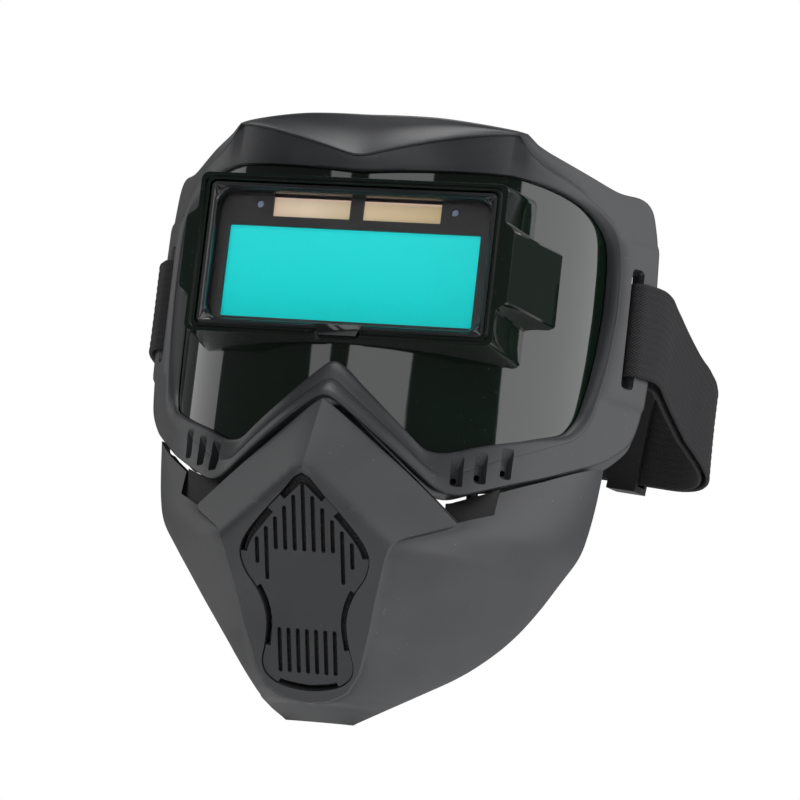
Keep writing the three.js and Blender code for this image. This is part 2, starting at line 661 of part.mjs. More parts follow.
const GRILLE = mirrored(GRILLE_OUTLINE);
const INSERT_Y = [0.6, 2.6]; // grille insert, filter sponge and its retainer, front to back
const SPONGE_Y = [2.9, 7.6];
const CLAMP_Y = [7.9, 9.4];

// Lower edge of the flange behind the trimmed top; it ends where the mask turns back.
const MASK_FLANGE = [
  [0, -52.6], [39.8, -83.9], [50.4, -92.1], [64, -86], [64.2, -77], [75, -69.8], [80, -58],
  [110, -40],
];
const FLANGE_DEEP = 9;
const PEG_WALL_Y = [19.6, 27];
const PEG_WALL = [
  [41, -79.9], [41, -95], [59.5, -95], [61, -73.2], [56, -75.2], [51.6, -76.6], [48, -77.9], [43, -79.6],
];

// Wall behind the notch in the mask's top edge; the peg stands on it.
// With a margin below zero it is the room that the wall needs.
function pegWall(margin) {
  const [front, back] = PEG_WALL_Y;
  const room = Math.abs(margin);
  return prismY(insetOutline(PEG_WALL, margin), front - room, back + room);
}

// The mask's skin made this thick straight back.
function maskBulk(thick) {
  const skin = maskSkin(0);
  return slabOf(skin, skin.map((row) => row.map((p) => p.clone().setY(p.y + thick))));
}

// The mask's trimmed top edge turns back under the frame's rim as a flange.
function maskShell() {
  const low = 2 * MASK_BOTTOM;
  const trimmed = mirrored([...MASK_TRIM, [100, low], [0, low]]);
  const under = mirrored([...MASK_FLANGE, [110, low], [0, low]]);
  const whole = prismY(trimmed, -60, 90);
  let flange = maskBulk(FLANGE_DEEP).intersect(whole.subtract(prismY(under, -61, 91)));
  const room = pegWall(-GAP);
  flange = flange.subtract(room).subtract(mirrorX(room));
  const collar = onMuzzle(insetOutline(GRILLE, -1.8), 1.4, CLAMP_Y[0]);
  const shell = slabOf(maskSkin(0), maskSkin(MASK_T)).intersect(whole).add(flange);
  return shell.add(collar).subtract(onMuzzle(GRILLE, -8, CLAMP_Y[1])).simplify(SLIVER);
}

// The strips between the insert's edge and the mask where the sponge shows.
const EDGE_STRIPS = [[2, 4], [6, 9]];

function stripCut(from, to, side) {
  const reach = 3.6;
  const edge = insetOutline(GRILLE, -1);
  const inner = insetOutline(GRILLE, reach);
  const at = (list, k) => [side * list[k][0], list[k][1]];
  const outer = [];
  const back = [];
  for (let k = from; k <= to; k += 1) {
    outer.push(at(edge, k));
    back.unshift(at(inner, k));
  }
  return onMuzzle([...outer, ...back], -1, 5);
}

function slotCut(x, down0, down1) {
  const half = GRILLE_SLOT_W / 2;
  const slot = [[x - half, down0], [x + half, down0], [x + half, down1], [x - half, down1]];
  return onMuzzle(slot, -1, 5);
}

function grilleInsert() {
  let insert = onMuzzle(insetOutline(GRILLE, 0.5), ...INSERT_Y);
  for (let k = -5; k <= 5; k += 1) {
    const rank = Math.abs(k);
    const low = rank < 4 ? 28.3 : 40 - 6 * (rank - 4);
    insert = insert.subtract(slotCut(k * GRILLE_PITCH, 2.4 + 4.3 * rank, low));
  }
  for (let k = -3; k <= 3; k += 1) {
    insert = insert.subtract(slotCut(k * GRILLE_PITCH * 0.97, 58, 75.2));
  }
  for (const side of [-1, 1]) {
    for (const [from, to] of EDGE_STRIPS) {
      insert = insert.subtract(stripCut(from, to, side));
    }
  }
  return insert;
}

const filterSponge = () => onMuzzle(insetOutline(GRILLE, 0.6), ...SPONGE_Y);

function spongeClamp() {
  const ring = onMuzzle(insetOutline(GRILLE, -1.5), ...CLAMP_Y);
  return ring.subtract(onMuzzle(insetOutline(GRILLE, 4), 7, 11));
}

// Bracket behind the mask's notch with the peg that plugs into the frame's lower rim.
function maskPeg(side) {
  const wall = pegWall(0).add(upright(PEG_R, PEG_X, PEG_Y, -83, PEG_TOP, 12));
  return side > 0 ? wall : mirrorX(wall);
}

// ---- headband -----------------------------------------------------------------------------
// Half of the band from the back of the head to its tail: out round the side, forwards along
// the lug's outer face, in through the slot and back behind the lug to the buckle.
const BAND_ROUTE = [
  [0, 186, -22, 40], [22, 186, -22, 40], [36, 185, -22, 36], [48, 182.9, -22.6, 18],
  [60, 180.4, -23.6, 0], [72, 177.9, -25, 0], [85.1, 175.1, -26.6, 0], [95.2, 170.9, -27.8, 0],
  [103.1, 163.5, -27.8, 0], [107.8, 153.8, -26.2, 0], [108.8, 142.9, -23.2, 0],
  [107.6, 132, -19.4, 0], [105.9, 122, -16, 0], [104.4, 105, -10.5, 0], [103.7, 90, -5.8, 0],
  [103.5, 79, -3.2, 0], [102, 72.1, -2.2, 0], [99.1, 67.2, -2, 0], [96.4, 63.8, -2, 0],
  [93.8, 63.2, -2, 0], [91.1, 64.8, -2, 0], [88.9, 67.1, -2, 0], [89.8, 71.8, -2, 0],
  [94.3, 77.6, -2.6, 0], [98.9, 83.6, -3.8, 0], [100.2, 91, -5.9, 0], [101, 105.3, -10.5, 0],
  [102.5, 122.5, -16, 0], [104.3, 132.5, -19.4, 0], [105.6, 143.2, -23.2, 0],
  [104.7, 152.9, -26.2, 0], [100.5, 161.6, -27.8, 0], [93.4, 168.2, -27.8, 0],
  [84.4, 171.9, -26.6, 0], [71.4, 174.6, -25, 0], [60.8, 176.8, -23.7, 0],
];

// A strap of flat section. The fourth number of each route point leans it out of upright.
function ribbon(route) {
  const points = route.map(([x, y, z]) => new THREE.Vector3(x, y, z));
  const up = new THREE.Vector3(0, 0, 1);
  const sections = points.map((point, k) => {
    const before = points[Math.max(0, k - 1)];
    const after = points[Math.min(points.length - 1, k + 1)];
    const ahead = after.clone().sub(before).normalize();
    const lean = THREE.MathUtils.degToRad(route[k][3]);
    const across = new THREE.Vector3().crossVectors(ahead, up).normalize().applyAxisAngle(ahead, lean);
    const wide = new THREE.Vector3().crossVectors(across, ahead).multiplyScalar(STRAP_W / 2);
    across.multiplyScalar(STRAP_T / 2);
    return [[-1, -1], [1, -1], [1, 1], [-1, 1]].map(([a, b]) => (
      point.clone().addScaledVector(across, a).addScaledVector(wide, b)
    ));
  });
  return loftOf(sections);
}

function headband() {
  const half = BAND_ROUTE.slice(1).reverse();
  const other = BAND_ROUTE.map(([x, y, z, lean]) => [-x, y, z, lean]);
  return ribbon([...half, ...other]);
}

const BUCKLE_AT = [71.7, 176.25, -25]; // middle of the right buckle, between the two layers
const BUCKLE_AIM = [-26, 5.4, 3]; // the way the band runs through it, towards the back
const BUCKLE_SIZE = [10.4, 13, 43];
const BUCKLE_HOLE = [6.6, 38];

// Three-bar slide: a frame round both layers of the band with a bar between them.
function buckle(side) {
  const [thick, long, tall] = BUCKLE_SIZE;
  const [holeThick, holeTall] = BUCKLE_HOLE;
  const aim = new THREE.Vector3(...BUCKLE_AIM).normalize();
  const out = new THREE.Vector3().crossVectors(aim, new THREE.Vector3(0, 0, 1)).normalize();
  const up = new THREE.Vector3().crossVectors(out, aim);
  const basis = new THREE.Matrix4().makeBasis(out, aim, up).setPosition(...BUCKLE_AT);
  const placed = (x, y, z) => {
    const geometry = new THREE.BoxGeometry(x, y, z);
    geometry.applyMatrix4(basis);
    return toManifold(geometry);
  };
  const bar = placed(1, 4, holeTall + 2);
  const right = placed(thick, long, tall).subtract(placed(holeThick, long + 2, holeTall)).add(bar);
  return side > 0 ? right : mirrorX(right);
}

function mirrorX(solid) {
  const geometry = toGeometry(solid);
  geometry.deleteAttribute('normal');
  const position = geometry.attributes.position;
  for (let k = 0; k < position.count; k += 1) position.setX(k, -position.getX(k));
  const index = geometry.index.array;
  for (let k = 0; k < index.length; k += 3) [index[k + 1], index[k + 2]] = [index[k + 2], index[k + 1]];
  return toManifold(geometry);
}

// ---- assembly -----------------------------------------------------------------------------
const LOOKS = {
  frame: { color: 0x26272a, roughness: 0.62, metalness: 0 },
  visor: { color: 0x06110c, roughness: 0.06, metalness: 0 },
  foam: { color: 0x151515, roughness: 1, metalness: 0 },
  filterCase: { color: 0x241f1f, roughness: 0.5, metalness: 0 },
  filterGlass: { color: 0x25dcdc, roughness: 0.15, metalness: 0 },
  darkGlass: { color: 0x0c1a14, roughness: 0.08, metalness: 0 },
  solarCell: { color: 0xd9bd97, roughness: 0.35, metalness: 0.2 },
  sensor: { color: 0x0b0b12, roughness: 0.1, metalness: 0 },
  board: { color: 0x1c4a2a, roughness: 0.6, metalness: 0 },
  steel: { color: 0xb9bcc0, roughness: 0.3, metalness: 1 },
  retainer: { color: 0x0a0c0c, roughness: 0.12, metalness: 0 },
  clear: { color: 0xe8f2f2, roughness: 0.05, metalness: 0, transparent: true, opacity: 0.15 },
  mask: { color: 0x2c2d2f, roughness: 0.66, metalness: 0 },
  webbing: { color: 0x1a1a1b, roughness: 0.95, metalness: 0 },
  buckle: { color: 0x151617, roughness: 0.4, metalness: 0 },
};

const goggles = new THREE.Group();
const assembly = new THREE.Group();
assembly.position.y = -FACE_Y;
goggles.add(assembly);

function place(name, look, solid) {
  const mesh = new THREE.Mesh(toGeometry(solid), new THREE.MeshStandardMaterial(LOOKS[look]));
  mesh.name = name;
  assembly.add(mesh);
}

place('goggle_frame', 'frame', goggleFrame());
place('visor', 'visor', visor());
place('face_foam', 'foam', faceFoam());
place('filter_case_front', 'filterCase', filterCaseFront());
place('filter_case_back', 'filterCase', filterCaseBack());
place('window_glass', 'filterGlass', windowGlass());
place('shutter_cell', 'darkGlass', shutterCell());
place('rear_glass', 'darkGlass', rearGlass());
place('circuit_board', 'board', circuitBoard());
place('inner_cover', 'clear', innerCover());
place('retaining_frame', 'retainer', retainingFrame());
place('cover_plate', 'clear', coverPlate());
place('mask_shell', 'mask', maskShell());
place('grille_insert', 'mask', grilleInsert());
place('filter_sponge', 'foam', filterSponge());
place('sponge_clamp', 'mask', spongeClamp());
place('headband', 'webbing', headband());
for (const [word, side] of [['left', -1], ['right', 1]]) {
  place(`solar_cell_${word}`, 'solarCell', solarCell(side));
  place(`arc_sensor_${word}`, 'sensor', arcSensor(side));
  place(`coin_cell_${word}`, 'steel', coinCell(side));
  place(`mask_peg_${word}`, 'mask', maskPeg(side));
  place(`buckle_${word}`, 'buckle', buckle(side));
}

export default goggles;
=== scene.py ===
"""Welding goggles with an auto-darkening filter, a detachable lower mask and a headband.

Lengths in the tables are millimetres from the middle of the filter window; at() turns them into
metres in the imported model's frame.
"""
import math

import bmesh
import bpy
from mathutils import Matrix, Vector


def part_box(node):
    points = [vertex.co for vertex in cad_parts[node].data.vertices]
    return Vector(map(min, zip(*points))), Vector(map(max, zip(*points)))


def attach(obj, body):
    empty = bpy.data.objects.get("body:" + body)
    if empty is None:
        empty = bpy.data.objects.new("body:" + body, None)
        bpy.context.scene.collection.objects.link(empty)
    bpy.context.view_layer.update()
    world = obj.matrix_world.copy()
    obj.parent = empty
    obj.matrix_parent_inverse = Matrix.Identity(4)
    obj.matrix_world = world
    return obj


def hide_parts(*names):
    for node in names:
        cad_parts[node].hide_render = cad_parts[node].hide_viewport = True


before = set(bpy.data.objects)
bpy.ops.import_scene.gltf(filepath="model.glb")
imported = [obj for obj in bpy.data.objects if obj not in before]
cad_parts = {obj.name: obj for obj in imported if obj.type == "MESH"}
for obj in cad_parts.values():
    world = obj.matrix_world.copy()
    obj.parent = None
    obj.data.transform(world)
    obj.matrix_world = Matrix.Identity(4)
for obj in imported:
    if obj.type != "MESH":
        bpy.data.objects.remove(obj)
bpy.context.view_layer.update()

MM = 0.001
FACE_Y = 34.0  # filter window to the plane of the wearer's eyes
FRAME_R = 90.0
FRAME_FRONT = -3.0
SIDE_X = 74.0
SIDE_RISE = 1.44
VISOR_R = 88.0
VISOR_FRONT = -1.0
VISOR_T = 2.4
GAP = 0.3
FILTER_W = 108.0
FILTER_H = 50.8
FILTER_Z = 5.2
RIM_Y = -7.5


def at(x, y, z):
    """A point in millimetres from the window as a point of the model in metres."""
    return Vector((x, y - FACE_Y, z)) * MM


def mix(a, b, t):
    return a + (b - a) * t


def along(pairs, x):
    """Straight-line lookup in a list of (x, value) pairs."""
    if x <= pairs[0][0]:
        return pairs[0][1]
    for (x0, v0), (x1, v1) in zip(pairs, pairs[1:]):
        if x <= x1:
            return mix(v0, v1, (x - x0) / (x1 - x0))
    return pairs[-1][1]


def ease(t):
    t = min(1.0, max(0.0, t))
    return t * t * (3 - 2 * t)


# ---- meshes ----
def mesh_object(name, points, faces, sharp=35.0):
    """An object from layout points; edges sharper than the angle in degrees stay creased."""
    mesh = bpy.data.meshes.new(name)
    mesh.from_pydata([at(*p) for p in points], [], faces)
    mesh.update()
    obj = bpy.data.objects.new(name, mesh)
    bpy.context.scene.collection.objects.link(obj)
    clean(obj, sharp)
    return obj


def clean(obj, sharp=35.0):
    """Welds, turns faces outwards and marks creases."""
    bm = bmesh.new()
    bm.from_mesh(obj.data)
    bmesh.ops.remove_doubles(bm, verts=bm.verts, dist=1e-6)
    bmesh.ops.recalc_face_normals(bm, faces=bm.faces)
    limit = math.radians(sharp)
    for face in bm.faces:
        face.smooth = True
    for edge in bm.edges:
        edge.smooth = not (len(edge.link_faces) == 2 and edge.calc_face_angle(0) > limit)
    bm.to_mesh(obj.data)
    bm.free()


def grid_faces(rows, columns, wrap_rows=False, wrap_columns=False):
    """Quads over a grid of points stored row by row."""
    faces = []
    for r in range(rows if wrap_rows else rows - 1):
        for c in range(columns if wrap_columns else columns - 1):
            r1 = (r + 1) % rows
            c1 = (c + 1) % columns
            faces.append((r * columns + c, r * columns + c1, r1 * columns + c1, r1 * columns + c))
    return faces


def loft(name, sections, sharp=35.0, closed=False):
    """A skin through sections of equal length, capped at both ends or joined end to end."""
    rows = len(sections)
    columns = len(sections[0])
    points = [p for section in sections for p in section]
    faces = grid_faces(rows, columns, closed, True)
    if not closed:
        faces.append(tuple(range(columns)))
        faces.append(tuple(range((rows - 1) * columns, rows * columns)))
    return mesh_object(name, points, faces, sharp)


def join(name, *objs):
    """One object from several, keeping the first one's name."""
    bm = bmesh.new()
    for obj in objs:
        bm.from_mesh(obj.data)
    mesh = bpy.data.meshes.new(name)
    bm.to_mesh(mesh)
    bm.free()
    for obj in objs:
        bpy.data.objects.remove(obj)
    out = bpy.data.objects.new(name, mesh)
    bpy.context.scene.collection.objects.link(out)
    return out


def bake(obj):
    """Applies the object's modifiers."""
    graph = bpy.context.evaluated_depsgraph_get()
    mesh = bpy.data.meshes.new_from_object(obj.evaluated_get(graph))
    obj.modifiers.clear()
    obj.data = mesh


def bevel(obj, width, segments=2, angle=30.0):
    mod = obj.modifiers.new("soft_edges", "BEVEL")
    mod.width = width * MM
    mod.segments = segments
    mod.limit_method = "ANGLE"
    mod.angle_limit = math.radians(angle)
    mod.harden_normals = True


def boolean(obj, tools, operation):
    for tool in tools:
        mod = obj.modifiers.new("boolean", "BOOLEAN")
        mod.object = tool
        mod.operation = operation
        mod.solver = "EXACT"
    bpy.context.view_layer.update()
    bake(obj)
    for tool in tools:
        bpy.data.objects.remove(tool)


def cut(obj, *tools):
    boolean(obj, tools, "DIFFERENCE")


def keep(obj, tool):
    boolean(obj, [tool], "INTERSECT")


def finish_piece(obj, material, body, nodes):
    obj.data.materials.clear()
    obj.data.materials.append(material)
    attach(obj, body)
    if nodes:
        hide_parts(*nodes)


# ---- materials ----
def material(name):
    mat = bpy.data.materials.new(name)
    mat.use_nodes = True
    tree = mat.node_tree
    shader = tree.nodes["Principled BSDF"]
    return mat, tree, shader


def link(source, target):
    target.id_data.links.new(source, target)


def feed(value, target):
    """Links a socket to the target, or sets a constant on it."""
    if isinstance(value, bpy.types.NodeSocket):
        link(value, target)
    else:
        target.default_value = value


def node(tree, kind, **values):
    made = tree.nodes.new(kind)
    for key, value in values.items():
        if hasattr(made, key):
            setattr(made, key, value)
        else:
            made.inputs[key.replace("_", " ")].default_value = value
    return made


def coords(tree):
    source = node(tree, "ShaderNodeTexCoord")
    mapping = node(tree, "ShaderNodeMapping")
    link(source.outputs["Object"], mapping.inputs["Vector"])
    return mapping.outputs["Vector"]


def noise_at(tree, vector, scale, detail=3.0, roughness=0.5):
    made = node(tree, "ShaderNodeTexNoise", Scale=scale, Detail=detail, Roughness=roughness)
    link(vector, made.inputs["Vector"])
    return made.outputs["Fac"]


def ramp(tree, source, stops):
    made = node(tree, "ShaderNodeValToRGB")
    elements = made.color_ramp.elements
    while len(elements) < len(stops):
        elements.new(0.5)
    for element, (place, value) in zip(elements, stops):
        element.position = place
        element.color = value if len(value) == 4 else (*value, 1)
    link(source, made.inputs["Fac"])
    return made.outputs["Color"]


def spread(tree, source, low, high, out_low, out_high):
    made = node(tree, "ShaderNodeMapRange")
    limits = {"From Min": low, "From Max": high, "To Min": out_low, "To Max": out_high}
    for key, value in limits.items():
        made.inputs[key].default_value = value
    link(source, made.inputs["Value"])
    return made.outputs["Result"]


def maths(tree, operation, *values):
    made = node(tree, "ShaderNodeMath", operation=operation)
    for value, socket in zip(values, made.inputs):
        feed(value, socket)
    return made.outputs[0]


def position(tree, vector):
    """The object coordinates as separate sockets."""
    split = node(tree, "ShaderNodeSeparateXYZ")
    link(vector, split.inputs[0])
    return split.outputs


def blended(tree, mode, share, first, second):
    """Two colours mixed in this mode."""
    made = node(tree, "ShaderNodeMix", data_type="RGBA", blend_type=mode)
    for value, place in ((share, 0), (first, 6), (second, 7)):
        feed(value, made.inputs[place])
    return made.outputs[2]


def cells_at(tree, vector, scale):
    """Distance to the nearest cell middle."""
    made = node(tree, "ShaderNodeTexVoronoi", Scale=scale)
    link(vector, made.inputs["Vector"])
    return made.outputs["Distance"]


def mottled(tree, shader, drift, colour, deep):
    """Base colour that drifts from this share of itself to its full strength."""
    dark = tuple(deep * c for c in colour)
    link(ramp(tree, drift, [(0.3, dark), (0.7, colour)]), shader.inputs["Base Color"])


def bump(tree, shader, height, strength, distance):
    made = node(tree, "ShaderNodeBump", Strength=strength, Distance=distance)
    link(height, made.inputs["Height"])
    link(made.outputs["Normal"], shader.inputs["Normal"])


GRAIN_SCALE = 2600.0
PLASTIC_IOR = 1.52


def moulded(name, dark, light, rough):
    """Matte moulded plastic: fine grain, slow colour drift and a few pale dust specks."""
    mat, tree, shader = material(name)
    vector = coords(tree)
    drift = noise_at(tree, vector, 28.0, 4.0)
    tone = ramp(tree, drift, [(0.3, dark), (0.72, light)])
    cells = cells_at(tree, vector, 420.0)
    specks = ramp(tree, cells, [(0.035, (0.32, 0.32, 0.33)), (0.07, (0, 0, 0))])
    sparse = ramp(tree, noise_at(tree, vector, 75.0, 1.0), [(0.52, (0, 0, 0)), (0.62, (1, 1, 1))])
    dust = blended(tree, "MULTIPLY", 1.0, specks, sparse)
    link(blended(tree, "ADD", 0.7, tone, dust), shader.inputs["Base Color"])
    shader.inputs["Specular IOR Level"].default_value = 0.35
    link(spread(tree, drift, 0.3, 0.7, rough - 0.05, rough + 0.05), shader.inputs["Roughness"])
    bump(tree, shader, noise_at(tree, vector, GRAIN_SCALE, 2.0), 0.12, 0.0002)
    return mat


def glossy(name, colour, rough, specks=True):
    """Glossy tinted plastic with faint dust."""
    mat, tree, shader = material(name)
    vector = coords(tree)
    mottled(tree, shader, noise_at(tree, vector, 40.0, 3.0), colour, 0.7)
    dusty = 0.4 if specks else rough
    spots = ramp(tree, cells_at(tree, vector, 380.0), [(0.05, (dusty,) * 3), (0.09, (rough,) * 3)])
    link(spots, shader.inputs["Roughness"])
    shader.inputs["IOR"].default_value = PLASTIC_IOR
    bump(tree, shader, noise_at(tree, vector, 60.0, 2.0), 0.02, 0.0005)
    return mat


# ---- goggle frame ----
# Rim stations from the brow down the side to the nose: the lens edge (x, z), the outer edge
# (x, z), how proud the lens edge, the crest and the outer edge stand, where the crest lies
# between the edges, the depth of the moulding and how far its rear lip stands out.
STATIONS = [
    (0, 39, 0, 62.6, 0.5, 3, -5, 0.2, 16, 0.15),
    (28, 41.5, 28, 63.4, 0.4, 1.8, -4.5, 0.5, 16, 0.15),
    (54, 44.2, 55, 62.6, 0.3, 0.6, -2.5, 0.85, 15, 0.15),
    (60, 43.8, 58.5, 62.2, 0.3, 0.8, -2, 0.5, 14, 0.15),
    (66, 43, 63, 57.6, 0.3, 0.8, -1.5, 0.4, 13, 0.15),
    (72, 41.5, 80, 51.3, 0.2, 0.8, -0.8, 0.3, 10, 0.15),
    (78, 38.8, 88.2, 47.8, -0.5, 0.8, -0.4, 0.2, 8, 0.15),
    (83.5, 34, 92.4, 50.3, -1.8, 0.8, 0, 0.15, 6, 0.15),
    (86, 28.5, 96.4, 47.5, -2.6, 0.8, 0, 0.12, 5, 0.15),
    (87, 19, 99, 33, -3.1, 0.8, 0, 0.12, 5, 0.15),
    (87.2, 2, 99.8, 4, -3.2, 0.8, 0, 0.12, 5, 0.15),
    (86, -15, 99.8, -18, -2.9, 0.8, 0, 0.12, 5, 0.15),
    (84.3, -28, 99.2, -34, -2.4, 0.8, 0, 0.12, 6, 0.15),
    (82, -40, 97.2, -45.6, -1.8, 0.8, 0, 0.15, 8, 4),
    (78.3, -47.6, 90, -54.6, -1, 0.8, 0, 0.2, 10, 6),
    (66, -53.8, 73, -66.4, 0.2, 0.8, 0, 0.3, 12, 6),
    (52, -59, 58, -74, 0.6, 1, 1, 0.4, 12, 0.15),
    (42, -63.5, 47, -79, 1, 1.6, 2.5, 0.5, 12, 0.15),
    (35.5, -63.5, 41, -78.6, 1.4, 2.2, 3.5, 0.5, 12, 0.15),
    (29, -57.5, 31, -70.6, 2, 3.2, 4.8, 0.5, 12, 2.4),
    (14, -44, 14.5, -57.7, 2.6, 5, 8, 0.5, 12, 2.4),
    (0, -31.7, 0, -46.5, 3, 6, 11, 0.5, 12, 2.4),
]
RIM_PITCH = 1.6  # spacing of the points round the rim
RIM_SMOOTHING = 7  # passes that ease the corners between stations
CRISPNESS = 0.96  # share of a crisp corner that the passes leave
LIP_T = 2.6  # thickness of the rear lip behind the mask's top edge
FRONT_END = 0.95  # share of the width where the front starts to round into the outer side
REBATE = 4.3
LAND_W = 1.8  # landing between the visor's rebate and the moulding's back
HOOD_CORNER = 2  # index of the station at the hood's corner
HOOD_STEP = 1.0  # height of the hood plate's lower edge
HOOD_FADE = 2.5  # how fast that edge runs out past the hood's corner
FACET_Z = (-31.0, 31.0)  # side facet between its two crease lines
FACET_X = 90.0  # outer edges beyond this have the facet
FACET_STEP = 0.9
FACET_SOFT = 1.6  # width of the creases


def frame_y(x):
    reach = min(abs(x), SIDE_X)
    return FRAME_FRONT + FRAME_R - math.sqrt(FRAME_R ** 2 - reach ** 2) + SIDE_RISE * (abs(x) - reach)


def under_skin(x, z, depth):
    """The point that lies this deep under the frame's skin at x, z."""
    slope = abs(x) / math.sqrt(FRAME_R ** 2 - min(abs(x), SIDE_X) ** 2)
    rise = math.copysign(SIDE_RISE if abs(x) >= SIDE_X else slope, x)
    length = math.hypot(rise, 1)
    return (x - depth * rise / length, frame_y(x) + depth / length, z)


def visor_depth(x):
    """How far behind the skin the visor's outer face lies."""
    sx, sy, _ = under_skin(x, 0, 0)
    ix, iy, _ = under_skin(x, 0, 1)
    dx, dy = ix - sx, iy - sy
    fy = sy - VISOR_FRONT - VISOR_R
    half = sx * dx + fy * dy
    return -half - math.sqrt(half ** 2 - sx ** 2 - fy ** 2 + VISOR_R ** 2)


def eased(row, before, after):
    """The row moved towards the middle of its neighbours, except at a crisp corner."""
    pull = 0.5 * (1 - CRISPNESS * row[11])
    shape = [mix(v, 0.5 * (a + b), pull) for v, a, b in zip(row[:10], before, after)]
    return shape + row[10:]


def rim_points():
    """The stations filled in with points, right round the rim, corners eased."""
    half = []
    for k, (a, b) in enumerate(zip(STATIONS, STATIONS[1:])):
        steps = max(2, round(math.hypot(b[2] - a[2], b[3] - a[3]) / RIM_PITCH))
        for s in range(steps):
            t = s / steps
            fading = max(0.0, 1 - HOOD_FADE * t) if k == HOOD_CORNER else 0.0
            hood = 1.0 if k < HOOD_CORNER else fading
            crisp = 1.0 if k in (HOOD_CORNER, HOOD_CORNER + 1) else 0.0
            half.append([mix(u, v, t) for u, v in zip(a, b)] + [hood, crisp])
    half.append(list(STATIONS[-1]) + [0.0, 0.0])
    other = [[-row[0], row[1], -row[2]] + row[3:] for row in half[1:-1]]
    ring = half + other[::-1]
    for _ in range(RIM_SMOOTHING):
        ring = [eased(row, before, after) for row, before, after
                in zip(ring, ring[-1:] + ring[:-1], ring[1:] + ring[:1])]
    return ring


class RimPoint:
    def __init__(self, row):
        (self.xi, self.zi, self.xo, self.zo, self.lens, self.crest_lift, self.edge,
         self.crest, self.depth, self.lip, self.hood, _) = row
        a = Vector(under_skin(self.xi, self.zi, 0))
        b = Vector(under_skin(self.xo, self.zo, 0))
        self.width = (a - b).length
        self.rebate = REBATE / self.width
        self.lip_share = 1 + self.lip / self.width
        self.land = (REBATE + LAND_W) / self.width
        self.seat = visor_depth(self.xi) - GAP
        self.rebate_seat = visor_depth(mix(self.xi, self.xo, self.rebate)) - GAP
        land_seat = visor_depth(mix(self.xi, self.xo, self.land)) - GAP
        self.land_depth = max(self.depth, land_seat + 4)

    def put(self, share, depth):
        return under_skin(mix(self.xi, self.xo, share), mix(self.zi, self.zo, share), depth)

    def facet(self, share):
        z = mix(self.zi, self.zo, share)
        low, high = FACET_Z
        inside = ease((z - low) / FACET_SOFT + 0.5) * ease((high - z) / FACET_SOFT + 0.5)
        return FACET_STEP * inside if abs(self.xo) > FACET_X else 0.0

    def face(self, share):
        """Depth of the front face at this share of the way out; negative is proud."""
        if share <= self.crest:
            t = share / self.crest
            return -mix(self.lens, self.crest_lift - HOOD_STEP * self.hood, math.sin(t * math.pi / 2))
        t = (share - self.crest) / (FRONT_END - self.crest)
        flat = mix(self.crest_lift, self.edge, ease(0.5 + 0.5 * t) * 2 - 1)
        return -flat - self.facet(share) * ease((share - self.crest - 0.05) / 0.08)


RIM = [RimPoint(row) for row in rim_points()]


def rim_section(p):
    """The moulding's section at one rim point, from the lens edge over the front and back."""
    ring = [(0, p.seat), (0, 0.7 - p.lens), (0.3 / p.width, 0.2 - p.lens)]
    ring += [(p.crest * t, p.face(p.crest * t)) for t in (0.15, 0.3, 0.45, 0.6, 0.75, 0.88, 0.97, 1)]
    ring += [(p.crest + 0.25 / p.width, 0.15 - p.crest_lift), (p.crest + 0.8 / p.width, -p.crest_lift)]
    for t in (0.12, 0.24, 0.36, 0.48, 0.6, 0.72, 0.84, 0.93):
        share = mix(p.crest, FRONT_END, t)
        ring.append((share + 0.3 / p.width * (1 - t), p.face(share)))
    for turn in (0, 25, 50, 70, 90):
        turned = math.radians(turn)
        share = mix(FRONT_END, 1, math.sin(turned))
        ring.append((share, p.face(FRONT_END) + 1.5 * (1 - math.cos(turned))))
    ring += [
        (1, p.depth - LIP_T), (p.lip_share, p.depth - LIP_T + 0.3), (p.lip_share, p.depth - 0.5),
        (0.97, p.depth), (p.land + 0.06, p.depth), (p.land, p.land_depth - 0.5),
        (p.land - 0.03, p.land_depth), (p.rebate, p.rebate_seat + 3), (p.rebate, p.rebate_seat)]
    return [p.put(share, depth) for share, depth in ring]


def skin_basis(x, z):
    """Frame square to the skin at x, z: across, inwards, up."""
    a = Vector(under_skin(x, z, 0))
    inwards = Vector(under_skin(x, z, 1)) - a
    up = Vector((0, 0, 1))
    return a, inwards.cross(up).normalized() * -1, inwards.normalized(), up


def skin_tool(name, x, z, rings):
    """A cutting body on the skin at x, z, from outlines of (across, up) points and their depths."""
    origin, across, inwards, up = skin_basis(x, z)
    return loft(name, [
        [origin + across * a + inwards * depth + up * h for a, h in ring] for ring, depth in rings])


def rounded(half_w, half_h, radius, mid=(0, 0), steps=5):
    """A rounded rectangle as (a, b) points."""
    out = []
    for ca, cb, start in ((1, 1, 0), (-1, 1, 90), (-1, -1, 180), (1, -1, 270)):
        for k in range(steps + 1):
            turn = math.radians(start + 90 * k / steps)
            out.append((mid[0] + ca * (half_w - radius) + radius * math.cos(turn),
                        mid[1] + cb * (half_h - radius) + radius * math.sin(turn)))
    return out


def circle(radius, count, offset=0.0):
    """Points round a circle, started this share of a step from the first axis."""
    turns = [2 * math.pi * (k + offset) / count for k in range(count)]
    return [(radius * math.cos(a), radius * math.sin(a)) for a in turns]


SLOT_X = 93.2
SLOT_Z = -2.0
SLOT_W = 5.0
SLOT_H = 45.0
VENTS = ((46.4, -73.3), (53.9, -70.8), (61.8, -67.4))
PEG_X = 50.0
PEG_Y = 22.5
PEG_R = 2.5


def slot_tool(side):
    shape = rounded(SLOT_W / 2, SLOT_H / 2, 1.6)
    flare = rounded(SLOT_W / 2 + 0.7, SLOT_H / 2 + 0.7, 2.0)
    rings = [(flare, -4), (flare, -0.9), (shape, 0.1), (shape, 14)]
    return skin_tool("slot_tool", side * SLOT_X, SLOT_Z, rings)


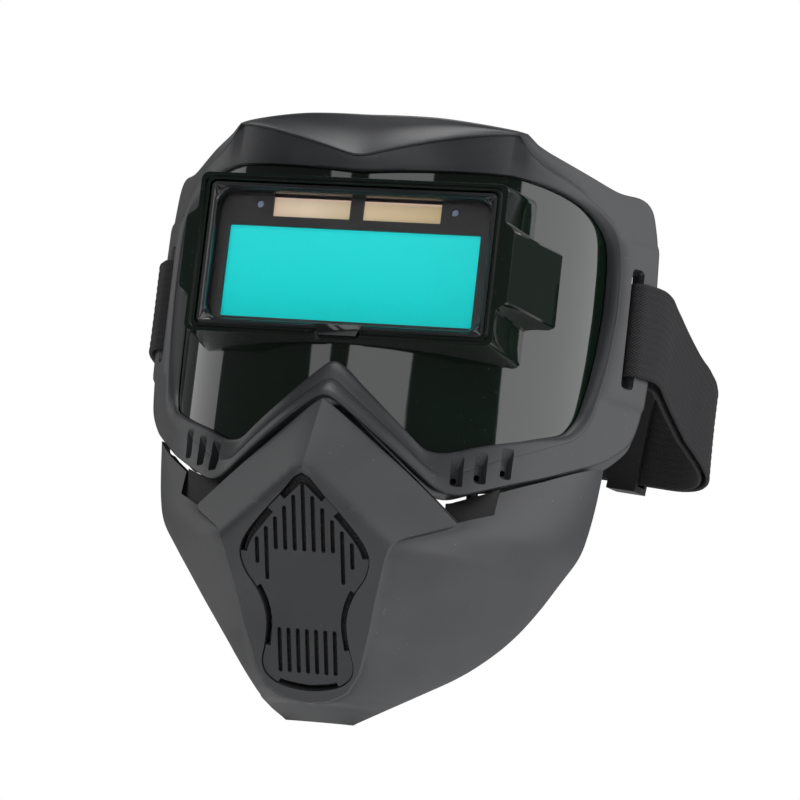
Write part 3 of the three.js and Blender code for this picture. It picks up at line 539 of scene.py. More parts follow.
def vent_tools(side, x, z):
    """A wedge-shaped pocket, deepest at its foot, with a small round hole there."""
    mouth = rounded(2.5, 6.0, 1.1, (0, 4.2))
    floor = rounded(1.9, 3.6, 1.0, (0.2, 2.2))
    round_hole = circle(1.25, 16)
    return [
        skin_tool("vent_tool", side * x, z, [(mouth, -3.5), (mouth, -0.9), (floor, 2.2)]),
        skin_tool("vent_hole_tool", side * x, z + 0.6, [(round_hole, 0.5), (round_hole, 6.5)])]


def peg_tool(side):
    ring = circle(PEG_R, 20)
    return loft("peg_tool", [[(side * PEG_X + a, PEG_Y + b, z) for a, b in ring] for z in (-95, -65)])


def goggle_frame():
    obj = loft("frame_moulding", [rim_section(p) for p in RIM], sharp=38, closed=True)
    tools = []
    for side in (-1, 1):
        tools += [slot_tool(side), peg_tool(side)]
        for x, z in VENTS:
            tools += vent_tools(side, x, z)
    cut(obj, *tools)
    clean(obj, 38)
    return obj


frame_plastic = moulded("frame_plastic", (0.018, 0.019, 0.021), (0.03, 0.031, 0.034), 0.42)
finish_piece(goggle_frame(), frame_plastic, "goggles", ["goggle_frame"])


# ---- visor and filter box ----
VISOR_REACH = 76.5  # degrees either way round the visor's axis
VISOR_COLUMNS = 150
RIM_HALF_W = 59.8
RIM_HALF_H = 30.4
BOX_DRAFT = 3.0
BUMP_OUT = 4.0
BUMP_Z = (-10.0, 20.0)
BOX_ROOT_Y = 33.0
LEDGE_Y = 10.6
LEDGE_W = 4.0  # how far the ledge overlaps the filter's edge
RETAINER_W = FILTER_W + 4
RETAINER_H = FILTER_H + 4
TAB_TOP_W = 19.0
TAB_FOOT_W = 15.0


def visor_panel():
    """The curved lens: a slice of tube trimmed to the seat behind the frame's lip."""
    reach = math.radians(VISOR_REACH)
    span = (-70.0, 52.0)
    sections = []
    for k in range(VISOR_COLUMNS + 1):
        turn = mix(-reach, reach, k / VISOR_COLUMNS)
        ring = []
        for radius, heights in ((VISOR_R, span), (VISOR_R - VISOR_T, span[::-1])):
            x, y = radius * math.sin(turn), VISOR_FRONT + VISOR_R - radius * math.cos(turn)
            ring += [(x, y, z) for z in heights]
        sections.append(ring)
    panel = loft("visor_moulding", sections, sharp=30)
    front, back = [], []
    for p in RIM:
        share = p.rebate - 0.6 / p.width
        seat = visor_depth(mix(p.xi, p.xo, share))
        front.append(p.put(share, seat - 4))
        back.append(p.put(share, seat + 7))
    ahead = [(x, -60, z) for x, _, z in front]
    behind = [(x, 120, z) for x, _, z in back]
    keep(panel, loft("visor_outline", [ahead, front, back, behind]))
    return panel


BOX_SPLITS = ((60, 18), (20, 5), (8, 3), (0, 1))  # edges longer than this are cut in so many


def box_outline(grow, bump, y):
    """The filter box's outline in plan with its two finger bumps, corners eased."""
    half_w = RIM_HALF_W + grow
    half_h = RIM_HALF_H + grow
    low, high = BUMP_Z[0] - 0.25 * grow, BUMP_Z[1] + 0.25 * grow
    arc = [(3 - 3 * math.cos(math.radians(15 * k)), 3 - 3 * math.sin(math.radians(15 * k)))
           for k in range(7)]
    ramps = [(ease(k / 6), 2.2 - 4.4 * k / 6) for k in range(7)]
    side = [(half_w - x, FILTER_Z + half_h - z) for x, z in reversed(arc)]
    side += [(half_w + bump * out, high + z) for out, z in ramps]
    side += [(half_w + bump * (1 - out), low + z) for out, z in ramps]
    side += [(half_w - x, FILTER_Z - half_h + z) for x, z in arc]
    whole = side + [(-x, z) for x, z in reversed(side)]
    out = []
    for (x0, z0), (x1, z1) in zip(whole, whole[1:] + whole[:1]):
        length = math.hypot(x1 - x0, z1 - z0)
        steps = next(count for limit, count in BOX_SPLITS if length > limit)
        out += [(mix(x0, x1, s / steps), y, mix(z0, z1, s / steps)) for s in range(steps)]
    return out


def prism(name, outline, y0, y1):
    return loft(name, [[(x, y, z) for x, z in outline] for y in (y0, y1)])


def ring_groove(name, half_w, half_h, radius, width, y0, y1):
    """A rounded-rectangle groove for cutting into the box's rim."""
    outer = rounded(half_w, half_h, radius, (0, FILTER_Z), 8)
    inner = rounded(half_w - width, half_h - width, radius - width, (0, FILTER_Z), 8)
    corners = ((outer, y0), (outer, y1), (inner, y1), (inner, y0))
    return loft(name, [[(x, y, z) for x, z in ring] for ring, y in corners], closed=True)


def window_prism(name, width, height, radius, y0, y1):
    """A rounded block centred on the filter."""
    return prism(name, rounded(width / 2, height / 2, radius, (0, FILTER_Z)), y0, y1)


def cartridge_room():
    """Cutting bodies: the retainer's mouth, the filter's pocket and the sight behind it."""
    return [
        window_prism("mouth", RETAINER_W + 2 * GAP, RETAINER_H + 2 * GAP, 2.5, -20, -GAP),
        window_prism("pocket", FILTER_W + 2 * GAP, FILTER_H + 2 * GAP, 2, -21, LEDGE_Y),
        window_prism("sight", FILTER_W - 2 * LEDGE_W, FILTER_H - 2 * LEDGE_W, 3, -22, BOX_ROOT_Y),
    ]


def filter_box():
    sections = [box_outline(0, BUMP_OUT, RIM_Y)]
    for k in range(8):
        t = k / 7
        bump_out = mix(BUMP_OUT + 0.3, 2 * BUMP_OUT + 1, t)
        sections.append(box_outline(mix(0.25, BOX_DRAFT, t), bump_out, mix(RIM_Y + 3, BOX_ROOT_Y, t)))
    box = loft("box_walls", sections, sharp=20)
    ring = circle(VISOR_R - VISOR_T / 2, 180, 0.37)
    trim = [[(x, VISOR_FRONT + VISOR_R + y, z) for y, x in ring] for z in (-70, 80)]
    top, foot = TAB_TOP_W / 2 + 0.5, TAB_FOOT_W / 2 + 0.5
    tab_seat = [(top, -20), (-top, -20), (-foot, -25.6), (foot, -25.6)]
    groove = (RETAINER_W / 2 + 2.2, RETAINER_H / 2 + 1.9, 3.2, 1.0)
    tools = [
        loft("box_trim", trim), *cartridge_room(),
        ring_groove("box_groove", *groove, RIM_Y - 1, RIM_Y + 1.3),
        prism("box_tab_seat", tab_seat, -20, RIM_Y + 2.4),
    ]
    cut(box, *tools)
    return box


def box_backing():
    """The ledge block inside the lens that the filter rests against."""
    block = window_prism("ledge", FILTER_W + 5, FILTER_H + 5, 3, RIM_Y + 3, LEDGE_Y + 1.6)
    cut(block, *cartridge_room())
    return block


def visor():
    panel = visor_panel()
    cut(panel, prism("panel_sight", rounded(RIM_HALF_W, RIM_HALF_H, 3, (0, FILTER_Z)), -30, BOX_ROOT_Y))
    clean(panel, 30)
    walls = filter_box()
    clean(walls, 24)
    bevel(walls, 0.5, 2, 24)
    bake(walls)
    ledge = box_backing()
    clean(ledge, 30)
    return join("visor_moulding", panel, walls, ledge)


visor_tint = glossy("visor_tint", (0.002, 0.007, 0.004), 0.05)
finish_piece(visor(), visor_tint, "goggles", ["visor"])


def retaining_frame():
    """Snap-in frame over the filter, with a stepped front and a pry tab at the foot."""
    front = RIM_Y + 1
    back = -1.8
    steps = [  # distance in from the outer edge, y
        (0.0, back), (0.0, front + 0.4), (0.4, front), (1.5, front), (1.9, front + 0.9),
        (2.3, front + 0.9), (2.6, front + 1.4), (2.9, front + 2.6), (3.0, back)]
    sections = []
    for edge, y in steps:
        corner = 2.2 + 1.3 * edge if edge > 1.6 else max(0.8, 2.2 - edge)
        shape = rounded(RETAINER_W / 2 - edge, RETAINER_H / 2 - edge, corner, (0, FILTER_Z), 8)
        sections.append([(x, y, z) for x, z in shape])
    ring = loft("retainer_ring", sections, sharp=25, closed=True)
    low = FILTER_Z - RETAINER_H / 2
    tab_outline = [(TAB_TOP_W / 2, low + 2.4), (-TAB_TOP_W / 2, low + 2.4),
                   (-TAB_FOOT_W / 2, low - 2.0), (TAB_FOOT_W / 2, low - 2.0)]
    tab = prism("retainer_tab", tab_outline, RIM_Y + 0.2, RIM_Y + 1.9)
    bevel(tab, 0.4, 2)
    bake(tab)
    clean(tab, 25)
    return join("retainer_ring", ring, tab)


retainer_gloss = glossy("retainer_gloss", (0.006, 0.007, 0.008), 0.12)
finish_piece(retaining_frame(), retainer_gloss, "retainer", ["retaining_frame"])


# ---- face foam ----
FOAM_T = 10.0
FOAM_GAP = 0.9
FOAM_IN = 5.2
FOAM_OUT = 9.5


def face_foam():
    def section(p):
        inner = FOAM_IN / p.width
        reach = 0.9 if abs(p.xi) > 76 else 0.96
        outer = min(FOAM_OUT / p.width, reach)
        front = p.land_depth + FOAM_GAP
        ring = [(inner, front), (outer, front)]
        for k in range(9):
            turn = math.radians(22.5 * k)
            share = mix(inner, outer, 0.5 + 0.5 * math.cos(turn))
            swell = 0.75 + 0.25 * math.sin(turn)
            ring.append((share, front + FOAM_T * swell if 0 < k < 8 else front + FOAM_T * 0.62))
        return [p.put(share, depth) for share, depth in ring]

    return loft("foam_seal", [section(p) for p in RIM], sharp=50, closed=True)


def foam_material(name, tone, pores, depth):
    mat, tree, shader = material(name)
    vector = coords(tree)
    cells = cells_at(tree, vector, pores)
    shade = ramp(tree, cells, [(0.15, tuple(0.25 * c for c in tone)), (0.6, tone)])
    link(shade, shader.inputs["Base Color"])
    shader.inputs["Roughness"].default_value = 0.93
    shader.inputs["Sheen Weight"].default_value = 0.15
    bump(tree, shader, cells, 0.7, depth)
    return mat


black_foam = foam_material("black_foam", (0.02, 0.02, 0.021), 1500.0, 0.0004)
foam = face_foam()
finish_piece(foam, black_foam, "goggles", ["face_foam"])


# ---- lower mask ----
# Edges, depths and shape factors are (drop under the window, value) pairs, the outlines are
# (x, z) points, and the grille's outline is (across, down the muzzle).
MUZZLE_TOP = (0.0, -27.7, -81.0)
MUZZLE_SLOPE = 0.492
MASK_T = 2.4
PANEL_DROP = 158.4  # foot of the front panel
PANEL_SHARE = 0.4  # share of the columns that lies on the panel
PANEL_STEP = 1.4
STEP_RUN = 0.5
STEP_SHARE = 0.02
PANEL_EDGE = [
    (50, 50.3), (90.3, 50), (96, 40.3), (99.5, 34), (106, 31), (120, 27),
    (133, 23.8), (147, 19.7), (154, 14.8), (157.4, 8), (158.4, 0.6)]
REAR_EDGE = [
    (44, 88.5), (56, 88.5), (70, 86.8), (80, 85.1), (90, 82.6), (95, 79.3), (100, 75.7), (110, 69.1),
    (120, 62), (130, 53.7), (140, 44), (150, 32.3), (156, 25.3), (160, 19.6), (164, 13)]
REAR_Y = [
    (44, 62), (70, 64), (90, 65), (110, 67.5), (122, 66.5), (130, 63), (140, 55), (150, 40.4),
    (156, 31.5), (160, 27.8), (164, 26)]
CHEEK_BULGE = [(80, 1), (125, 0.5), (164, 0.1)]
CHIN_Y = [(PANEL_DROP, 12), (164, 25)]
CHIN_ROUND = [(133, 1), (154, 1.6), (164, 1.9)]  # how roundly the chin turns back
MASK_TRIM = [
    (0, -49.2), (4.6, -52), (14.5, -59.4), (31, -72.2), (40, -79.8), (50.3, -88.9), (61.2, -83.6),
    (61.4, -74.7), (73.6, -67.2), (91, -54.8), (100, -50)]
MASK_FLANGE = [  # lower edge of the flange along the trimmed top
    (0, -52.6), (39.8, -83.9), (50.4, -92.1), (64, -86), (64.2, -77), (75, -69.8), (80, -58),
    (110, -40)]
FLANGE_DEEP = 9.0
MASK_FAR = -200.0  # height of the trimming bodies' feet, below the chin
PEG_WALL = [
    (41, -79.9), (41, -95), (59.5, -95), (61, -73.2), (56, -75.2), (51.6, -76.6), (48, -77.9),
    (43, -79.6)]
PEG_WALL_Y = (19.6, 27.0)
GRILLE_OUTLINE = [
    (0, -1.8), (9, 7), (16, 14.6), (22.4, 22.8), (25, 29.5), (23.3, 36.8), (19.2, 43),
    (16.4, 49.5), (15.5, 56.3), (16.5, 65), (17.8, 71.3), (16.2, 76.5), (10.5, 80.2), (0, 81.8)]
INSERT_Y = (0.6, 2.6)
SPONGE_Y = (2.9, 7.6)
CLAMP_Y = (7.9, 9.4)
CHIN_MIDDLE = Vector((0, 30, -130))  # the chin's wall thickens towards this
CHIN_TURN = [(150, 0), (158, 1)]


def soft_along(pairs, x, reach=2.0):
    """The lookup with its corners eased over a short reach."""
    return sum(along(pairs, x + reach * k / 3) for k in range(-3, 4)) / 7


def panel_y(x, z):
    """Front panel: two nose planes and the sloping muzzle plane, their meeting rounded."""
    nose = -14.8 + 0.528 * (z + 50) + 0.815 * math.hypot(x, 1.4) - 1.15
    muzzle = MUZZLE_TOP[1] + MUZZLE_SLOPE * (MUZZLE_TOP[2] - z)
    soft = 2.6
    overlap = max(0.0, 1 - abs(nose - muzzle) / soft)
    return max(nose, muzzle) + 0.25 * soft * overlap ** 2


def mask_point(side, across, z):
    """A point of the outer skin: across runs from 0 on the middle line to 1 at the rear edge."""
    drop = -z
    on_chin = drop > PANEL_DROP
    panel_x = soft_along(PANEL_EDGE, drop, 1.6) if drop < 153 else along(PANEL_EDGE, drop)
    if across <= PANEL_SHARE:
        x = side * panel_x * across / PANEL_SHARE
        return Vector((x, along(CHIN_Y, drop) if on_chin else panel_y(x, z), z))
    rear_x = soft_along(REAR_EDGE, drop, 4 if drop < 155 else 0.5)
    rear_y = soft_along(REAR_Y, drop, 4 if drop < 155 else 0.5)
    start = along(CHIN_Y, drop) if on_chin else panel_y(panel_x, z) + PANEL_STEP
    share = max(0.0, (across - PANEL_SHARE - STEP_SHARE) / (1 - PANEL_SHARE - STEP_SHARE))
    t = 1 - (1 - share) ** 1.6
    bulge = 1 - (1 - t ** 1.5) ** 0.62
    rise = mix(t, bulge, soft_along(CHEEK_BULGE, drop, 6)) ** along(CHIN_ROUND, drop)
    return Vector((side * mix(panel_x + STEP_RUN, rear_x, t), mix(start, rear_y, rise), z))


def mask_rows():
    """Drops of the rows, closer together across the panel's shoulder and round the chin."""
    rows = [44 + 1.9 * k for k in range(25)]
    rows += [90.3 + 0.95 * k for k in range(12)]
    rows += [102 + 1.7 * k for k in range(31)]
    rows += [153.8 + 0.55 * k for k in range(8)]
    return rows + [158.0, 158.4, 158.7, 159.2, 160, 161, 162, 163.1, 164]


def mask_columns():
    """Side and share of each column, closer together at the step beside the panel."""
    inner = [PANEL_SHARE * k / 14 for k in range(14)] + [0.394, 0.4, 0.408, 0.42]
    outer = [0.42 + 0.58 * k / 30 for k in range(1, 31)]
    shares = inner + outer
    return [(-1, a) for a in reversed(shares[1:])] + [(1, a) for a in shares]


def mask_skins():
    """The mask's outer and inner skins as grids of points."""
    columns = mask_columns()
    rows = mask_rows()
    outer, inner = [], []
    for drop in rows:
        out_row, in_row = [], []
        for side, across in columns:
            here = mask_point(side, across, -drop)
            ahead = mask_point(side, min(1, across + 0.03), -drop)
            before = mask_point(side, max(0, across - 0.03), -drop)
            above = mask_point(side, across, -max(rows[0], drop - 2))
            below = mask_point(side, across, -min(rows[-1], drop + 2))
            normal = (ahead - before).cross(above - below).normalized()
            if across == 0:
                normal.x = 0
                normal.normalize()
            out_row.append(tuple(here))
            normal *= math.copysign(1, normal.y)
            inwards = (CHIN_MIDDLE - here).normalized()
            normal = normal.lerp(inwards, along(CHIN_TURN, drop)).normalized()
            in_row.append(tuple(here + normal * MASK_T))
        outer.append(out_row)
        inner.append(in_row)
    return outer, inner


def slab(name, front, back, sharp):
    """A closed body between two grids of points."""
    rows, columns = len(front), len(front[0])
    points = [p for row in front for p in row] + [p for row in back for p in row]
    base = rows * columns
    faces = grid_faces(rows, columns)
    faces += [tuple(base + i for i in face[::-1]) for face in faces]
    rim = [(0, c) for c in range(columns)] + [(r, columns - 1) for r in range(1, rows)]
    rim += [(rows - 1, c) for c in range(columns - 2, -1, -1)]
    rim += [(r, 0) for r in range(rows - 2, 0, -1)]
    for (r0, c0), (r1, c1) in zip(rim, rim[1:] + rim[:1]):
        a, b = r0 * columns + c0, r1 * columns + c1
        faces.append((a, b, base + b, base + a))
    return mesh_object(name, points, faces, sharp)


def inset(outline, distance):
    count = len(outline)
    out = []
    for k, (x, z) in enumerate(outline):
        x0, z0 = outline[k - 1]
        x1, z1 = outline[(k + 1) % count]
        length = math.hypot(x1 - x0, z1 - z0)
        out.append((x - distance * (z1 - z0) / length, z + distance * (x1 - x0) / length))
    return out


def catmull(p0, p1, p2, p3, steps):
    """Points of the Catmull-Rom curve from p1 up to p2."""
    bend, twist = 2 * p0 - 5 * p1 + 4 * p2 - p3, 3 * p1 - p0 - 3 * p2 + p3
    shares = [s / steps for s in range(steps)]
    return [0.5 * (2 * p1 + (p2 - p0) * t + bend * t * t + twist * t ** 3) for t in shares]


def smooth_closed(points, steps):
    """Catmull-Rom curve through a closed list of points."""
    out = []
    count = len(points)
    for k in range(count):
        corners = [Vector(points[(k + i - 1) % count]) for i in range(4)]
        out += [tuple(p) for p in catmull(*corners, steps)]
    return out


def open_curve(points, pitch):
    """Catmull-Rom curve through open points of any width, filled in at about this pitch."""
    ends = [2 * Vector(points[0]) - Vector(points[1]), 2 * Vector(points[-1]) - Vector(points[-2])]
    chain = [ends[0]] + [Vector(p) for p in points] + [ends[1]]
    out = []
    for k in range(1, len(chain) - 2):
        steps = max(1, round((chain[k + 1] - chain[k]).xyz.length / pitch))
        out += catmull(*chain[k - 1:k + 3], steps)
    out.append(chain[-2])
    return out


def mirrored(half):
    """A closed outline from its right half, whose ends lie on the middle line."""
    return half + [(-x, z) for x, z in half[-2:0:-1]]


GRILLE = smooth_closed(mirrored(GRILLE_OUTLINE), 3)


def on_muzzle(x, down, deep):
    """A point on the muzzle's face: across, down it and behind it."""
    turn = math.atan(MUZZLE_SLOPE)
    return (x, MUZZLE_TOP[1] + down * math.sin(turn) + deep * math.cos(turn),
            MUZZLE_TOP[2] - down * math.cos(turn) + deep * math.sin(turn))


def muzzle_prism(name, outline, deep0, deep1):
    return loft(name, [[on_muzzle(x, d, deep) for x, d in outline] for deep in (deep0, deep1)])


def peg_room(side):
    """Clearance for the wall that closes the notch in the mask's top edge."""
    outline = [(side * x, z) for x, z in inset(PEG_WALL, -GAP)]
    return prism("peg_room", outline, PEG_WALL_Y[0] - GAP, PEG_WALL_Y[1] + GAP)


def mask_shell():
    outer, inner = mask_skins()
    shell = slab("mask_moulding", outer, inner, 28)
    outline = mirrored(MASK_TRIM + [(100, MASK_FAR), (0, MASK_FAR)])
    under_outline = mirrored(MASK_FLANGE + [(110, MASK_FAR), (0, MASK_FAR)])
    near = [[(x, y + 0.6, z) for x, y, z in row] for row in outer]
    deep = [[(x, y + FLANGE_DEEP, z) for x, y, z in row] for row in outer]
    flange = slab("mask_flange", near, deep, 28)
    keep(flange, prism("flange_trim", outline, -60, 90))
    cut(flange, prism("flange_under", under_outline, -61, 91), peg_room(1), peg_room(-1))
    clean(flange, 28)
    keep(shell, prism("mask_trim", outline, -60, 90))
    cut(shell, muzzle_prism("grille_hole", inset(GRILLE, 0), -8, CLAMP_Y[1]))
    clean(shell, 28)
    inside, outside = inset(GRILLE, -0.02), inset(GRILLE, -1.6)
    corners = ((inside, 1.0), (outside, 1.6), (outside, CLAMP_Y[0]), (inside, CLAMP_Y[0]))
    rings = [[on_muzzle(x, d, deep) for x, d in ring] for ring, deep in corners]
    collar = loft("grille_collar", rings, closed=True)
    bevel(shell, 0.5, 2, 50)
    bake(shell)
    return join("mask_moulding", shell, collar, flange)


mask_plastic = moulded("mask_plastic", (0.03, 0.031, 0.033), (0.045, 0.046, 0.049), 0.5)
finish_piece(mask_shell(), mask_plastic, "mask", ["mask_shell"])

GRILLE_PITCH = 3.65
LOW_PITCH = 3.55
SLOT_HALF = 0.8
UPPER_TOPS = (2.6, 6.9, 11.3, 15.6, 19.6, 23.8)
UPPER_FEET = (28.3, 28.3, 28.3, 28.3, 40.0, 34.0)


def slot_cut(x, top, foot):
    turns = [math.pi * k / 8 for k in range(9)]
    cap = [(SLOT_HALF * math.cos(a), SLOT_HALF * (1 - math.sin(a))) for a in turns]
    ring = [(x + a, top + d) for a, d in cap] + [(x - a, foot - d) for a, d in cap]
    return muzzle_prism("slot_cut", ring, -2, 5)


def edge_cut(side, low, high, width):
    """A strip along the insert's edge, between two distances down the face."""
    outer = half_edge(low, high, side, 1.0)
    inner = half_edge(low, high, side, -width)
    return muzzle_prism("edge_cut", outer + inner[::-1], -2, 5)


def crossing_cut(low, high, width):
    """The same kind of strip where it runs through the middle line."""
    chains = []
    for out in (1.0, -width):
        half = half_edge(low, high, 1, out)
        other = [(-x, d) for x, d in reversed(half)]
        chains.append(other + half if low < 0 else half + other)
    return muzzle_prism("crossing_cut", chains[0] + chains[1][::-1], -2, 5)


def half_edge(low, high, side, out):
    """Points of the half outline between two drops, moved outwards by this much."""
    curve = open_curve([(x, d, 0, 0) for x, d in GRILLE_OUTLINE], 1.2)
    picked = []
    for k, p in enumerate(curve):
        if low <= p.y <= high:
            ahead = curve[min(k + 1, len(curve) - 1)] - curve[max(k - 1, 0)]
            away = Vector((ahead.y, -ahead.x)).normalized() * out
            if p.x + away.x > 0.1:
                picked.append((side * (p.x + away.x), p.y + away.y))
    return picked


def grille_insert():
    insert = muzzle_prism("grille_plate", inset(GRILLE, 0.45), *INSERT_Y)
    tools = []
    for k in range(-5, 6):
        rank = abs(k)
        tools.append(slot_cut(k * GRILLE_PITCH, UPPER_TOPS[rank], UPPER_FEET[rank]))
    for k in range(-3, 4):
        tools.append(slot_cut(k * LOW_PITCH, 58, 75.3))
    for side in (-1, 1):
        tools.append(edge_cut(side, 11.5, 30.6, 3.0))
        tools.append(edge_cut(side, 42.0, 65.0, 2.3))
    tools += [crossing_cut(-3, 7.6, 2.7), crossing_cut(79.4, 90, 2.2)]
    cut(insert, *tools)
    clean(insert, 30)
    bevel(insert, 0.22, 2, 40)
    bake(insert)
    return insert


grille_plastic = moulded("grille_plastic", (0.022, 0.023, 0.025), (0.034, 0.035, 0.038), 0.45)
finish_piece(grille_insert(), grille_plastic, "grille", ["grille_insert"])


SPONGE_VOXEL = 0.9 * MM
SPONGE_CELL = 1.6 * MM
SPONGE_ROUGH = 0.7 * MM


def filter_sponge():
    """Open-cell sponge cut to the grille's outline, its faces rough with cells."""
    front, back = SPONGE_Y
    layers = [(0.9, front), (0.6, front + 0.5), (0.6, back - 0.5), (0.9, back)]
    sections = [[on_muzzle(x, d, deep) for x, d in inset(GRILLE, gap)] for gap, deep in layers]
    sponge = loft("sponge_pad", sections, sharp=60)
    remesh = sponge.modifiers.new("cells", "REMESH")
    remesh.mode = "VOXEL"
    remesh.voxel_size = SPONGE_VOXEL
    remesh.use_smooth_shade = True
    texture = bpy.data.textures.new("sponge_cells", "CLOUDS")
    texture.noise_scale = SPONGE_CELL
    rough = sponge.modifiers.new("rough", "DISPLACE")
    rough.texture = texture
    rough.strength = SPONGE_ROUGH
    rough.mid_level = 0.9
    bpy.context.view_layer.update()
    bake(sponge)
    return sponge


black_sponge = foam_material("black_sponge", (0.014, 0.014, 0.015), 900.0, 0.0007)
sponge = filter_sponge()
finish_piece(sponge, black_sponge, "mask", ["filter_sponge"])


# ---- headband ----
STRAP_W = 36.0
STRAP_T = 1.6
STRAP_RIBS = 13
RIB_DEPTH = 0.16
# Middle line of the right half of the band from the back of the head: x, y, z and the lean
# out of upright in degrees. It goes round the slot bar and comes back inside itself.
BAND_ROUTE = [
    (0, 186, -22, 40), (22, 186, -22, 40), (36, 185, -22, 36), (48, 182.9, -22.6, 18),
    (60, 180.4, -23.6, 0), (72, 177.9, -25, 0), (85.1, 175.1, -26.6, 0), (95.2, 170.9, -27.8, 0),
    (103.1, 163.5, -27.8, 0), (107.8, 153.8, -26.2, 0), (108.8, 142.9, -23.2, 0),
    (107.6, 132, -19.4, 0), (105.9, 122, -16, 0), (104.4, 105, -10.5, 0), (103.7, 90, -5.8, 0),
    (103.5, 79, -3.2, 0), (102, 72.1, -2.2, 0), (99.1, 67.2, -2, 0), (96.4, 63.8, -2, 0),
    (93.8, 63.2, -2, 0), (91.1, 64.8, -2, 0), (88.9, 67.1, -2, 0), (89.8, 71.8, -2, 0),
    (94.3, 77.6, -2.6, 0), (98.9, 83.6, -3.8, 0), (100.2, 91, -5.9, 0), (101, 105.3, -10.5, 0),
    (102.5, 122.5, -16, 0), (104.3, 132.5, -19.4, 0), (105.6, 143.2, -23.2, 0),
    (104.7, 152.9, -26.2, 0), (100.5, 161.6, -27.8, 0), (93.4, 168.2, -27.8, 0),
    (84.4, 171.9, -26.6, 0), (71.4, 174.6, -25, 0), (60.8, 176.8, -23.7, 0),
]


def strap_profile():
    """The strap's section as (across, through) points: ribs on both faces, thinner edges."""
    ring = []
    count = STRAP_RIBS * 6
    for face in (1, -1):
        for k in range(count + 1):
            t = k / count
            across = face * mix(-0.5, 0.5, t) * STRAP_W
            rib = RIB_DEPTH * (0.5 - 0.5 * math.cos(2 * math.pi * STRAP_RIBS * t))
            edge = min(1.0, math.sqrt(max(0.0, 1 - (2 * abs(t - 0.5)) ** 30)) + 0.25)
            ring.append((across, face * (STRAP_T / 2 - RIB_DEPTH + rib) * edge))
    return ring


def headband():
    """The ribbed strap along both halves of the route, with its weave laid out in the UV map."""
    right = open_curve(BAND_ROUTE, 2.4)
    left = [Vector((-p.x, p.y, p.z, p.w)) for p in right[1:]]
    line = left[::-1] + right
    profile = strap_profile()
    up = Vector((0, 0, 1))
    sections, lengths, run = [], [], 0.0
    for k, p in enumerate(line):
        ahead = (line[min(k + 1, len(line) - 1)].xyz - line[max(k - 1, 0)].xyz).normalized()
        lean = Matrix.Rotation(math.radians(p.w), 3, ahead)
        through = lean @ ahead.cross(up).normalized()
        wide = through.cross(ahead)
        sections.append([p.xyz + wide * a + through * b for a, b in profile])
        run += (p.xyz - line[k - 1].xyz).length if k else 0.0
        lengths.append(run)
    band = loft("elastic_band", sections, 60)
    layer = band.data.uv_layers.new(name="weave")
    for loop in band.data.loops:
        row, column = divmod(loop.vertex_index, len(profile))
        layer.data[loop.index].uv = (profile[column][0], lengths[min(row, len(lengths) - 1)])
    return band


def webbing_material():
    mat, tree, shader = material("webbing")
    source = node(tree, "ShaderNodeUVMap", uv_map="weave")
    heights = []
    for turn in (38, -38):
        mapping = node(tree, "ShaderNodeMapping")
        mapping.inputs["Rotation"].default_value = (0, 0, math.radians(turn))
        link(source.outputs["UV"], mapping.inputs["Vector"])
        wave = node(tree, "ShaderNodeTexWave", Scale=0.36, Distortion=0.6)
        wave.inputs["Detail Scale"].default_value = 2.0
        link(mapping.outputs["Vector"], wave.inputs["Vector"])
        heights.append(wave.outputs["Fac"])
    knit = maths(tree, "MULTIPLY", *heights)
    shade = ramp(tree, knit, [(0.0, (0.006, 0.006, 0.007)), (0.8, (0.034, 0.034, 0.037))])
    link(shade, shader.inputs["Base Color"])
    shader.inputs["Roughness"].default_value = 0.78
    shader.inputs["Specular IOR Level"].default_value = 0.25
    bump(tree, shader, knit, 0.5, 0.0003)
    return mat


finish_piece(headband(), webbing_material(), "band", ["headband"])


# ---- materials of the carried-over pieces ----
def satin(name, colour, rough, metallic=0.0, grain=900.0):
    mat, tree, shader = material(name)
    vector = coords(tree)
    drift = noise_at(tree, vector, 60.0, 3.0)
    mottled(tree, shader, drift, colour, 0.8)
    link(spread(tree, drift, 0.3, 0.7, rough * 0.9, rough * 1.1), shader.inputs["Roughness"])
    shader.inputs["Metallic"].default_value = metallic
    bump(tree, shader, noise_at(tree, vector, grain, 2.0), 0.06, 0.0002)
    return mat


def window_material():
    """Teal interference coating: even colour with a slow shift towards the top, and a painted glow from
    emission.
    """
    mat, tree, shader = material("window_coating")
    vector = coords(tree)
    low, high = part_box("window_glass")
    height = spread(tree, position(tree, vector)["Z"], low.z, high.z, 0.0, 1.0)
    colour = ramp(tree, height, [(0.2, (0.006, 0.6, 0.59)), (0.95, (0.02, 0.7, 0.69))])
    link(colour, shader.inputs["Base Color"])
    # Emission makes the window glow though it is no lamp: painted glow.
    link(colour, shader.inputs["Emission Color"])
    shader.inputs["Emission Strength"].default_value = 0.32
    shader.inputs["Specular IOR Level"].default_value = 0.1
    shader.inputs["Roughness"].default_value = 0.3
    bump(tree, shader, noise_at(tree, vector, 30.0, 1.0), 0.01, 0.0002)
    return mat


# Tones across each strip are painted shading: the left strip lighter, the right one darkening towards
# its right end.
SOLAR_LEFT_PAINTED_SHADING = ((0.8, 0.6, 0.42), (0.86, 0.66, 0.48), (0.7, 0.54, 0.33))
SOLAR_RIGHT_PAINTED_SHADING = ((0.78, 0.59, 0.37), (0.7, 0.52, 0.31), (0.6, 0.44, 0.24))


